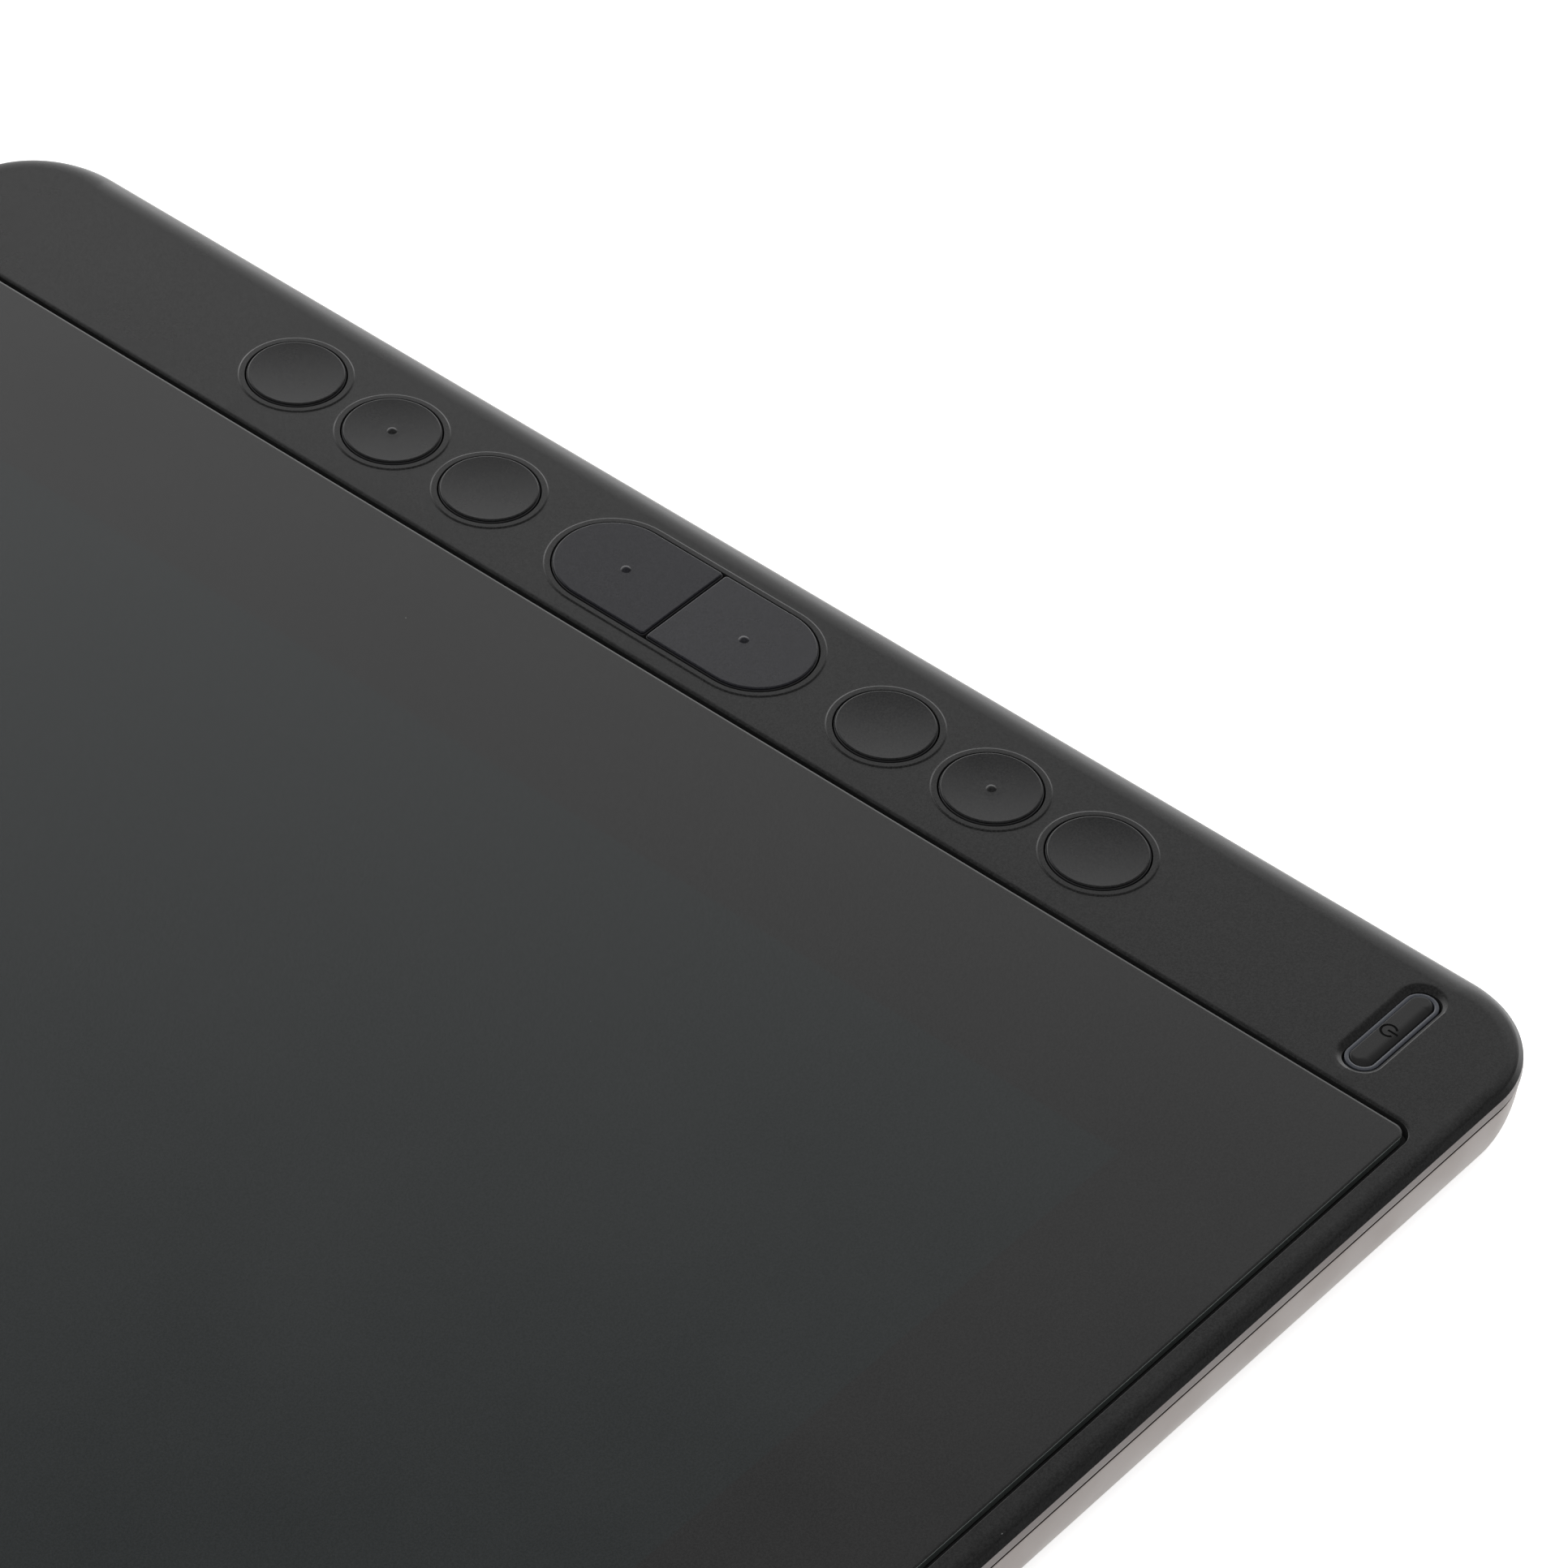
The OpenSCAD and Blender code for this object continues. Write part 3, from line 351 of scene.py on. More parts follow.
class Skin:
    """Closed mesh built from rings of points"""

    def __init__(self):
        self.bm = bmesh.new()

    def ring(self, outline, z):
        return [self.bm.verts.new((x, y, z)) for x, y in outline]

    def lean_ring(self, outline, share, insets, heights):
        """Ring whose inset and height go from the first value to the second with the way a point faces"""
        made = []
        for (x, y), (out_x, out_y) in zip(outline(0), outline(-1)):
            way_x, way_y = out_x - x, out_y - y
            part = share(way_x, way_y)
            inset = insets[0] + (insets[1] - insets[0]) * part
            z = heights[0] + (heights[1] - heights[0]) * part
            made.append(self.bm.verts.new((x - way_x * inset, y - way_y * inset, z)))
        return made

    def wall(self, rings, slot=0):
        """Band of faces through rings with equal numbers of points"""
        for low, high in zip(rings, rings[1:]):
            for i in range(len(low)):
                j = (i + 1) % len(low)
                face = self.bm.faces.new((low[i], low[j], high[j], high[i]))
                face.material_index = slot

    def loft(self, outline, section, slot=0):
        """Wall that follows a section line round an outline"""
        rings = [self.ring(outline(inset), z) for inset, z in section]
        self.wall(rings, slot)
        return rings

    def fill(self, *rings, slot=0):
        """Flat face inside the first ring, with the others as holes in it"""
        edges = []
        for ring in rings:
            for a, b in zip(ring, ring[1:] + ring[:1]):
                edges.append(self.bm.edges.get((a, b)) or self.bm.edges.new((a, b)))
        made = bmesh.ops.triangle_fill(self.bm, use_beauty=True, edges=edges)
        for item in made["geom"]:
            if isinstance(item, bmesh.types.BMFace):
                item.material_index = slot

    def solid(self, rings):
        """Wall through the rings, closed at both ends"""
        self.wall(rings)
        self.fill(rings[0])
        self.fill(rings[-1])

    def mesh_object(self, name):
        open_edges = [e for e in self.bm.edges if len(e.link_faces) != 2]
        if open_edges:
            places = [tuple(round(c, 2) for c in e.verts[0].co) for e in open_edges[:4]]
            raise ValueError(f"{name} isn't closed: {len(open_edges)} open edges, at {places}")
        bmesh.ops.recalc_face_normals(self.bm, faces=self.bm.faces)
        mesh = bpy.data.meshes.new(name)
        self.bm.to_mesh(mesh)
        self.bm.free()
        made = bpy.data.objects.new(name, mesh)
        bpy.context.scene.collection.objects.link(made)
        smooth(made)
        return made


def smooth(piece):
    """Smooth shading, apart from the sharp edges"""
    piece.data.polygons.foreach_set("use_smooth", [True] * len(piece.data.polygons))
    piece.data.set_sharp_from_angle(angle=math.radians(SHARP_ANGLE))


def apply_modifiers(piece):
    shapes = bpy.context.evaluated_depsgraph_get()
    mesh = bpy.data.meshes.new_from_object(piece.evaluated_get(shapes))
    piece.modifiers.clear()
    piece.data = mesh


def carve(piece, *cutters):
    """Cuts the cutters' shapes out of a piece and removes the cutters"""
    for cutter in cutters:
        cut = piece.modifiers.new("cut", "BOOLEAN")
        cut.operation = "DIFFERENCE"
        cut.solver = "EXACT"
        cut.object = cutter
    apply_modifiers(piece)
    for cutter in cutters:
        bpy.data.objects.remove(cutter)
    smooth(piece)


def paint(piece, slot, inside):
    """Gives a material slot to the faces whose middle and normal pass a test"""
    for face in piece.data.polygons:
        if inside(face.center, face.normal):
            face.material_index = slot


def place(piece, body, slot, nodes, *materials):
    """Puts a finished piece on its body and in place of its CAD nodes; the record's slot that it is given is not
    used
    """
    even = piece.modifiers.new("even shading", "WEIGHTED_NORMAL")
    even.keep_sharp = True
    apply_modifiers(piece)
    piece.data.transform(Matrix.Scale(MM, 4))
    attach(piece, body)
    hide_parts(*nodes)
    for made in materials:
        piece.data.materials.append(made)


# Materials
def srgb(r, g, b):
    """Linear colour from 0-255 display values"""
    return tuple(((c / 255 + 0.055) / 1.055) ** 2.4 if c > 10 else c / 255 / 12.92 for c in (r, g, b)) + (1.0,)


class Nodes:
    """Adds nodes to a node tree and links them"""

    def __init__(self, tree):
        self.tree = tree

    def node(self, kind, **settings):
        made = self.tree.nodes.new(kind)
        for key, value in settings.items():
            setattr(made, key, value)
        return made

    def link(self, source, target):
        self.tree.links.new(source, target)

    def math(self, operation, first, second=None):
        """Result of an operation on one or two values, each a number or a socket"""
        made = self.node("ShaderNodeMath", operation=operation)
        for socket, value in zip(made.inputs, (first, second)):
            if isinstance(value, (int, float)):
                socket.default_value = value
            elif value is not None:
                self.link(value, socket)
        return made.outputs["Value"]

    def map_range(self, source, before, after, **settings):
        """Value taken from one range to another"""
        made = self.node("ShaderNodeMapRange", **settings)
        for name, value in zip(("From Min", "From Max", "To Min", "To Max"), before + after):
            made.inputs[name].default_value = value
        self.link(source, made.inputs["Value"])
        return made.outputs["Result"]


# Part of a noise's values that is spread over a whole range
NOISE_RANGE = (0.35, 0.65)


class Finish(Nodes):
    """Node material whose colour, roughness and relief vary over the surface"""

    def __init__(self, name):
        self.material = bpy.data.materials.new(name)
        self.material.use_nodes = True
        super().__init__(self.material.node_tree)
        self.shader = self.tree.nodes["Principled BSDF"]
        self.coords = self.node("ShaderNodeTexCoord").outputs["Object"]

    def noise(self, size, detail=2.0, stretch=None):
        """Noise with blobs of about this size in millimetres"""
        made = self.node("ShaderNodeTexNoise")
        made.inputs["Scale"].default_value = 1 / (size * MM)
        made.inputs["Detail"].default_value = detail
        coords = self.coords
        if stretch:
            mapping = self.node("ShaderNodeMapping")
            mapping.inputs["Scale"].default_value = stretch
            self.link(coords, mapping.inputs["Vector"])
            coords = mapping.outputs["Vector"]
        self.link(coords, made.inputs["Vector"])
        return made.outputs["Fac"]

    def spread(self, noise, low, high):
        return self.map_range(noise, NOISE_RANGE, (low, high))

    def blend(self, share, first, second):
        """Mix of two colours, each a colour or a socket"""
        made = self.node("ShaderNodeMix", data_type="RGBA")
        self.link(share, made.inputs["Factor"])
        for name, value in (("A", first), ("B", second)):
            socket = next(s for s in made.inputs if s.name == name and s.type == "RGBA")
            if isinstance(value, tuple):
                socket.default_value = value
            else:
                self.link(value, socket)
        return next(s for s in made.outputs if s.type == "RGBA")

    def dust(self, cell, radius, rarity):
        """Mask of small round specks, one at most in each cell"""
        made = self.node("ShaderNodeTexVoronoi")
        made.inputs["Scale"].default_value = 1 / (cell * MM)
        self.link(self.coords, made.inputs["Vector"])
        chance = self.node("ShaderNodeSeparateColor")
        self.link(made.outputs["Color"], chance.inputs["Color"])
        near = self.math("LESS_THAN", made.outputs["Distance"], radius / cell)
        kept = self.math("GREATER_THAN", chance.outputs["Red"], rarity)
        return self.math("MULTIPLY", near, kept)

    def relief(self, height, depth):
        made = self.node("ShaderNodeBump")
        made.inputs["Distance"].default_value = depth * MM
        self.link(height, made.inputs["Height"])
        self.link(made.outputs["Normal"], self.shader.inputs["Normal"])

    def constant(self, **values):
        for key, value in values.items():
            self.shader.inputs[key].default_value = value


def surface(name, dark, light, rough, tone_size, grain, depth, metal=0.0, ior=1.5, stretch=None, specks=None,
            mottle=None):
    """General finish: two close tones, a range of roughness, and a grain of this size and depth"""
    made = Finish(name)
    tones = made.spread(made.noise(tone_size, 4.0, stretch), 0, 1)
    colour = made.blend(tones, srgb(*dark), srgb(*light))
    if mottle:
        size, share, shade = mottle
        colour = made.blend(made.spread(made.noise(size), 0, share), colour, srgb(*shade))
    if specks:
        cell, radius, rarity, shade = specks
        colour = made.blend(made.dust(cell, radius, rarity), colour, srgb(*shade))
    made.link(colour, made.shader.inputs["Base Color"])
    polish = made.spread(made.noise(tone_size / 5, 5.0, stretch), *rough)
    made.link(polish, made.shader.inputs["Roughness"])
    made.relief(made.noise(grain, 3.0, stretch), depth)
    made.constant(Metallic=metal, IOR=ior)
    return made.material


# Specks of dust, as size of a cell, radius, rarity and colour
DUST = (3.5, 0.06, 0.93, (134, 136, 134))
# Fine lighter grain of the dark plastic, as size, strength and colour
MOTTLE = (0.22, 0.9, (32, 32, 32))
PILL_MOTTLE = (0.22, 0.9, (32, 32, 37))

# After its two tones, each finish has a range of roughness, the size of the tones, and the grain's size and depth
shell_top = surface("shell_top", (6, 6, 6), (10, 10, 10), (0.22, 0.28), 40, 0.25, 0.003, ior=1.45,
                    specks=DUST, mottle=MOTTLE)
# Painted reflection: the band above the parting line and the side of the bottom shell are far lighter than the
# dark plastic, standing in for the pale floor mirrored in them
shell_band_painted_reflection = surface("shell_band_painted_reflection", (96, 82, 77), (102, 88, 83), (0.3, 0.38), 40, 0.32, 0.003)
shell_side_painted_reflection = surface("shell_side_painted_reflection", (152, 138, 131), (158, 144, 137), (0.3, 0.38), 40, 0.32, 0.003, ior=1.7)
# Painted shade: flat dark greys for the faces inside the gaps, the darker one in the parting line and on the lip
# behind it, the other in the groove round the glass and on the walls of the key holes
gap_painted_shade = surface("gap_painted_shade", (15, 15, 15), (19, 19, 19), (0.7, 0.8), 20, 0.2, 0.002, ior=1.2)
groove_painted_shade = surface("groove_painted_shade", (36, 36, 36), (42, 42, 42), (0.7, 0.8), 20, 0.2, 0.002, ior=1.2)

key_top = surface("key_top", (6, 6, 8), (10, 10, 12), (0.22, 0.28), 20, 0.25, 0.003, ior=1.455,
                  mottle=MOTTLE)
# Painted light: the side, ledge and flange of a key, which show in the shaded gap, are much lighter than its top
key_side_painted_light = surface("key_side_painted_light", (42, 42, 43), (48, 48, 49), (0.4, 0.5), 20, 0.25, 0.003, ior=1.3)
# The second half of the pill shines a little more than the first
pill_tops = [surface(name, (8, 8, 15), (11, 11, 19), (0.22, 0.28), 20, 0.25, 0.003, ior=ior,
                     mottle=PILL_MOTTLE) for name, ior in (("pill_top_1", 1.455), ("pill_top_2", 1.51))]
power_top = surface("power_top", (20, 20, 20), (25, 25, 25), (0.22, 0.28), 20, 0.25, 0.003, ior=1.47)
# Dark bottom of the standby sign; the same finish on the power key's edge band is painted shade
sign_and_edge_painted_shade = surface("sign_and_edge_painted_shade", (19, 19, 19), (23, 23, 23), (0.8, 0.9), 2, 0.1, 0.001, ior=1.1)
ring_grey = surface("ring_grey", (61, 63, 70), (66, 69, 75), (0.25, 0.33), 6, 0.3, 0.001)

# Painted light: the glass's side is made light grey-green, standing in for light inside the glass, and the pale
# line at its top is a painted highlight
glass_side_painted_light = surface("glass_side_painted_light", (88, 94, 92), (95, 101, 99), (0.2, 0.3), 20, 0.2, 0.001)
glass_edge_painted_highlight = surface("glass_edge_painted_highlight", (214, 225, 220), (222, 233, 228), (0.2, 0.3), 20, 0.2, 0.001)
rubber = surface("rubber", (22, 22, 22), (30, 30, 30), (0.75, 0.9), 12, 0.25, 0.02)

# Edges of the panel outside its picture, the wide one along +Y, and the soft edge of the picture
PANEL_EDGE = 3
PANEL_WIDE_EDGE = 8
PICTURE_BLUR = 0.15
# Two tones of the printed border and of the picture area, size of the grain between them, and specks of dust
GLASS_BORDER = (srgb(16, 16, 16), srgb(30, 30, 30))
GLASS_PICTURE = (srgb(16, 22, 22), srgb(29, 33, 34))
GLASS_GRAIN = 0.22
GLASS_DUST = (4.0, 0.06, 0.94)
GLASS_DUST_COLOUR = srgb(125, 128, 126)
GLASS_ROUGH = (0.18, 0.23)
GLASS_IOR = 1.54


def glass_finish():
    """Etched cover glass: a dark printed border, and a slightly lighter picture area behind it"""
    made = Finish("cover_glass")
    low, high = node_box("lcd_panel")
    parts = made.node("ShaderNodeSeparateXYZ")
    made.link(made.coords, parts.inputs["Vector"])
    mask = None
    for axis, first, last in (("X", low.x + PANEL_EDGE, high.x - PANEL_EDGE),
                              ("Y", low.y + PANEL_EDGE, high.y - PANEL_WIDE_EDGE)):
        middle, half = (first + last) / 2, (last - first) / 2
        far = made.math("ABSOLUTE", made.math("SUBTRACT", parts.outputs[axis], middle * MM))
        inside = made.map_range(far, ((half - PICTURE_BLUR) * MM, half * MM), (1, 0))
        mask = made.math("MULTIPLY", mask, inside) if mask else inside
    grain = made.spread(made.noise(GLASS_GRAIN), 0, 1)
    print_or_picture = made.blend(mask, made.blend(grain, *GLASS_BORDER), made.blend(grain, *GLASS_PICTURE))
    colour = made.blend(made.dust(*GLASS_DUST), print_or_picture, GLASS_DUST_COLOUR)
    made.link(colour, made.shader.inputs["Base Color"])
    made.link(made.spread(made.noise(25, 5.0), *GLASS_ROUGH), made.shader.inputs["Roughness"])
    made.relief(made.noise(0.2), 0.001)
    made.constant(IOR=GLASS_IOR)
    return made.material


cover_glass = glass_finish()

# Finishes of the CAD nodes, by the record's slots
SLOT_FINISH = {
    "shell_plastic": shell_top,
    "key_plastic": key_top,
    "cover_glass": cover_glass,
    "foot_rubber": rubber,
    "light_ring": ring_grey,
    "black_tape": surface("black_tape", (20, 20, 20), (28, 28, 28), (0.5, 0.65), 6, 0.2, 0.01),
    "clear_bond": surface("clear_bond", (150, 156, 158), (162, 168, 170), (0.1, 0.2), 20, 1, 0.001),
    "panel_glass": surface("panel_glass", (26, 30, 34), (32, 36, 40), (0.08, 0.15), 30, 1, 0.001),
    "white_film": surface("white_film", (222, 224, 224), (234, 235, 234), (0.35, 0.5), 20, 0.2, 0.003),
    "clear_acrylic": surface("clear_acrylic", (190, 205, 208), (205, 216, 218), (0.05, 0.12), 20, 1, 0.001),
    "sheet_metal": surface("sheet_metal", (150, 152, 155), (172, 173, 175), (0.28, 0.42), 8, 0.4, 0.003,
                           metal=1.0, stretch=(1, 12, 1)),
    "lamp_strip": surface("lamp_strip", (196, 170, 96), (214, 190, 120), (0.35, 0.5), 3, 0.2, 0.01),
    "circuit_board": surface("circuit_board", (16, 62, 40), (26, 84, 54), (0.3, 0.45), 1.2, 0.5, 0.02),
    "chip_plastic": surface("chip_plastic", (20, 20, 21), (27, 27, 28), (0.45, 0.6), 2, 0.15, 0.01),
    "socket_metal": surface("socket_metal", (178, 178, 176), (196, 196, 193), (0.22, 0.34), 3, 0.2, 0.002,
                            metal=1.0, stretch=(1, 8, 1)),
    "ivory_plastic": surface("ivory_plastic", (212, 204, 184), (224, 217, 199), (0.4, 0.55), 4, 0.2, 0.004),
    "flex_film": surface("flex_film", (150, 92, 28), (176, 112, 40), (0.25, 0.4), 3, 0.4, 0.01,
                         stretch=(6, 1, 1)),
    "screw_steel": surface("screw_steel", (120, 121, 124), (142, 143, 146), (0.3, 0.45), 1, 0.1, 0.002,
                           metal=1.0),
}


def finish_cad_nodes():
    slots = {part["node"]: part["material_slot"] for part in frame["record"]["subparts"]}
    for name, piece in frame["nodes"].items():
        finish = SLOT_FINISH[slots[name]]
        if not piece.material_slots:
            piece.data.materials.append(finish)
        for slot in piece.material_slots:
            slot.material = finish


finish_cad_nodes()


# Ways that a side can face, as a share from 0 to 1
def on_long_side(way_x, way_y):
    return abs(way_y)


def on_strip_side(way_x, way_y):
    return max(0, -way_x) ** 2


def to_corner(way_x, way_y):
    """Most on the side of the power key that faces the corner of the housing"""
    return min(max(0.45 + 0.55 * way_y + 0.45 * way_x, 0), 1)


# Housing
def body_outline(inset):
    return rect_outline((-BODY_X, -BODY_Y), (BODY_X, BODY_Y), BODY_R, BODY_R, inset)


def window_outline(inset):
    low = (glass_low.x - STRIP_GROOVE, glass_low.y - GROOVE)
    high = (glass_high.x + GROOVE, glass_high.y + GROOVE)
    return rect_outline(low, high, GLASS_FAR_R + GROOVE, GLASS_R + STRIP_GROOVE + WINDOW_SPARE_R, inset)


def ledge_outline(inset):
    return rect_outline(glass_low, glass_high, LEDGE_R + LEDGE_W, LEDGE_R + LEDGE_W, LEDGE_W + inset)


def pocket_outline(inset):
    low = (LIP_IN + LIP_T + LIP_SPARE - BODY_X, LIP_IN + LIP_T + LIP_SPARE - BODY_Y)
    high = (glass_low.x - GROOVE - POCKET_WALL, -low[1])
    return rect_outline(low, high, POCKET_R, BODY_R - LIP_IN - LIP_T - LIP_SPARE, inset)


def glass_outline(inset):
    return rect_outline(glass_low, glass_high, GLASS_FAR_R, GLASS_R, inset)


def moat_outline(inset):
    return power_slot(RECESS_LEN - 2 * inset, RECESS_W - 2 * inset)


def key_centre(name):
    low, high = node_box(name)
    return (low.x + high.x) / 2, (low.y + high.y) / 2


# Section of the border, from a flat ring over the soft rise and the rolled inner edge down into the hole
BORDER = [(-FLAT, Z_TOP)] + swell(BORDER_START, Z_TOP, BORDER_SWELL, BORDER_H)
BORDER += [(BORDER_W - BORDER_ROUND * (1 - math.sin(a)), Z_TOP + BORDER_H - BORDER_ROUND * (1 - math.cos(a)))
           for a in (0, 0.4, 0.8, 1.2, math.pi / 2)]
BORDER += [(BORDER_W, Z_UNDER)]


def shell_rim(skin):
    """Band above the parting line and rim over it, a plain bend on the long sides and an ellipse on the short"""
    side = [skin.lean_ring(body_outline, on_long_side, (short, long), (Z_PART + up, Z_PART + up))
            for up, short, long in BAND_SECTION]
    long_rim = bent_line(RIM_LONG, Z_TOP, LONG_RIM_BENDS)
    low = math.asin(BAND_H / (Z_TOP - Z_PART))
    turns = [math.pi / 2 - (math.pi / 2 - low) * i / RIM_STEPS for i in range(RIM_STEPS + 1)]
    short_rim = [(RIM_SHORT - SHORT_RIM_W * math.cos(a), Z_PART + (Z_TOP - Z_PART) * math.sin(a))
                 for a in turns]
    rim = [skin.lean_ring(body_outline, on_long_side, (short[0], long[0]), (short[1], long[1]))
           for short, long in reversed(list(zip(short_rim, long_rim)))]
    rim.append(skin.lean_ring(body_outline, on_long_side, (RIM_SHORT + RIM_FLAT, RIM_LONG + RIM_FLAT),
                              (Z_TOP, Z_TOP)))
    # The band takes slot 1, whose lighter colour is a painted reflection of the pale floor
    skin.wall(side + rim[:1], slot=1)
    skin.wall(rim)
    return side, rim


def key_holes(skin):
    """Holes of the round keys and the pill, each with its raised border"""
    holes = []
    for name in ROUND_KEYS:
        x, y = key_centre(name)
        outer = KEY_R + KEY_GAP + BORDER_W
        holes.append(skin.loft(lambda inset: circle_outline(x, y, outer - inset), BORDER))
    grow = 2 * (KEY_GAP + BORDER_W)
    holes.append(skin.loft(lambda inset: slot_outline(KEY_X, 0, PILL_LEN + grow - 2 * inset,
                                                      PILL_W + grow - 2 * inset), BORDER))
    return holes


def moat(skin):
    """Sunk ramp round the power key, wider on the side away from the corner"""
    rings = [skin.ring(moat_outline(-MOAT_FLAT), Z_TOP)]
    for across, down, near_down in MOAT_RAMP:
        insets = [first + (last - first) * across for first, last in (MOAT_FAR, MOAT_NEAR)]
        heights = (Z_TOP - MOAT_H * down, Z_TOP - MOAT_NEAR_H * near_down)
        rings.append(skin.lean_ring(moat_outline, to_corner, insets, heights))
    for z in (Z_TOP - MOAT_H - MOAT_STEP, Z_UNDER):
        rings.append(skin.ring(moat_outline(MOAT_FAR[1]), z))
    skin.wall(rings)
    return rings


def window_cutter():
    """Opening for the glass, with a wide roll beside the key strip and a small one on the other sides"""
    skin = Skin()
    window = []
    for turn, lift in [(90, CUT_PAST)] + [(turn, 0) for turn in range(90, -1, -10)]:
        out, down = 1 - math.cos(math.radians(turn)), 1 - math.sin(math.radians(turn))
        insets = (-SIDE_ROLL * out, -STRIP_ROLL * out)
        heights = (Z_TOP + lift - SIDE_ROLL * down, Z_TOP + lift - STRIP_DROP * down)
        window.append(skin.lean_ring(window_outline, on_strip_side, insets, heights))
    window.append(skin.ring(window_outline(0), Z_LEDGE))
    skin.wall(window)
    ledge = skin.loft(ledge_outline, [(0, Z_LEDGE), (0, Z_PART - CUT_PAST)])
    skin.fill(window[0])
    skin.fill(window[-1], ledge[0])
    skin.fill(ledge[-1])
    return skin.mesh_object("window_cutter")


def in_groove(point, normal):
    """Lower part of the groove round the glass"""
    return (Z_LEDGE - NEAR < point.z < Z_TOP - STRIP_ROLL and abs(point.y) < glass_high.y + GROOVE + NEAR
            and glass_low.x - STRIP_GROOVE - NEAR < point.x < glass_high.x + GROOVE + NEAR)


def in_key_gap(point, normal):
    """Upright walls of the holes in the key strip"""
    return (abs(normal.z) < 0.5 and point.z > Z_UNDER and abs(point.y) < BODY_Y - KEYS_IN
            and KEYS_IN - BODY_X < point.x < glass_low.x - 1)


def top_shell():
    """Slots: the top, the band above the parting line, lighter as a painted reflection, the lip, dark as painted
    shade, and the groove with the key holes, grey as painted shade
    """
    skin = Skin()
    side, rim = shell_rim(skin)
    holes = key_holes(skin) + [moat(skin)]
    skin.fill(rim[-1], *[hole[0] for hole in holes])
    # The lip and the underside that joins it to the band are painted dark, as painted shade inside the parting
    # line
    lip = skin.loft(body_outline, [(LIP_IN, Z_PART), (LIP_IN, Z_LIP), (LIP_IN + LIP_T, Z_LIP),
                                   (LIP_IN + LIP_T, Z_PART)], slot=2)
    skin.wall([side[0], lip[0]], slot=2)
    pocket = skin.loft(pocket_outline, [(0, Z_PART), (0, Z_UNDER)])
    skin.fill(lip[-1], pocket[0])
    skin.fill(pocket[-1], *[hole[-1] for hole in holes])
    piece = skin.mesh_object("top_shell_skin")
    carve(piece, window_cutter())
    # The lower groove round the glass and the upright walls of the key holes are painted grey, as painted shade
    paint(piece, 3, in_groove)
    paint(piece, 3, in_key_gap)
    place(piece, "housing", "shell_plastic", ["top_shell"], shell_top, shell_band_painted_reflection, gap_painted_shade,
          groove_painted_shade)


def foot_box(name, spare=0.0):
    low, high = node_box(name)
    return (low.x - spare, low.y - spare), (high.x + spare, high.y + spare)


def tray_sections():
    """Outer side of the bottom shell with its small rounding, the dark line, and the inner side"""
    top = Z_PART - REVEAL_H
    curve_top = top - EDGE_ROUND
    outer = [(STEP + SIDE_W * (1 - math.cos(a)), curve_top - (curve_top - Z_BASE) * math.sin(a))
             for a in reversed(quarter_turn(SIDE_STEPS))]
    outer += [(STEP + 0.3 * EDGE_ROUND, top - 0.3 * EDGE_ROUND), (STEP + EDGE_ROUND, top)]
    shadow = [(STEP + REVEAL_W, top), (STEP + REVEAL_W, Z_PART)]
    inner = [(STEP + WALL + SIDE_W * (1 - math.cos(a)), Z_PART - (Z_PART - Z_FLOOR) * math.sin(a))
             for a in quarter_turn(INNER_STEPS)]
    return outer, shadow, inner


def socket_cutter(name):
    """Slot with round ends through the side, round a socket"""
    low, high = node_box(name)
    centre = (low + high) / 2
    outline = slot_outline(0, 0, high.y - low.y + SOCKET_SPARE, high.z - low.z + SOCKET_SPARE)
    skin = Skin()
    skin.solid([[skin.bm.verts.new((x, centre.y + b, centre.z + a)) for a, b in outline]
                for x in (-BODY_X - SOCKET_OUT, -BODY_X + SOCKET_IN)])
    return skin.mesh_object("socket_cutter")


def bottom_shell():
    """Slots: the tray, lighter than the plastic as a painted reflection of the pale floor, and the dark line
    under the top shell, painted shade
    """
    skin = Skin()
    outer, shadow, inner = tray_sections()
    wall = [skin.ring(body_outline(inset), z) for inset, z in outer + shadow + inner]
    skin.wall(wall[:len(outer)])
    # The faces of the dark line take slot 1, painted shade
    skin.wall(wall[len(outer) - 1:len(outer) + 2], slot=1)
    skin.wall(wall[len(outer) + 1:])
    skin.fill(wall[-1])
    recesses = []
    for name in FEET:
        low, high = foot_box(name, FOOT_SPARE)
        recesses.append(skin.loft(lambda inset: rect_outline(low, high, FOOT_R, FOOT_R, inset),
                                  [(-RECESS_CHAMFER, Z_BASE), (0, Z_BASE + RECESS_CHAMFER),
                                   (0, Z_BASE + FOOT_RECESS)]))
        skin.fill(recesses[-1][-1])
    skin.fill(wall[0], *[recess[0] for recess in recesses])
    piece = skin.mesh_object("bottom_shell_skin")
    carve(piece, *[socket_cutter(name) for name in SOCKETS])
    place(piece, "housing", "shell_plastic", ["bottom_shell"], shell_side_painted_reflection, gap_painted_shade)


def glass():
    """Slots: the face, the side, made lighter as painted light, and the painted highlight line between them"""
    skin = Skin()
    top = glass_high.z
    highlight_low, highlight_high = GLASS_HIGHLIGHT
    side = skin.loft(glass_outline, [(GLASS_CHAMFER, Z_GLASS), (0, Z_GLASS + GLASS_CHAMFER),
                                     (0, top - highlight_low)], slot=1)
    line = [side[-1], skin.ring(glass_outline(0), top - highlight_high)]
    skin.wall(line, slot=2)
    face = [skin.ring(glass_outline(inset), top - drop) for inset, drop in GLASS_FACE]
    skin.wall([line[-1]] + face)
    skin.fill(side[0], slot=1)
    skin.fill(face[-1])
    piece = skin.mesh_object("screen_glass_skin")
    place(piece, "housing", "cover_glass", ["screen_glass"], cover_glass, glass_side_painted_light, glass_edge_painted_highlight)


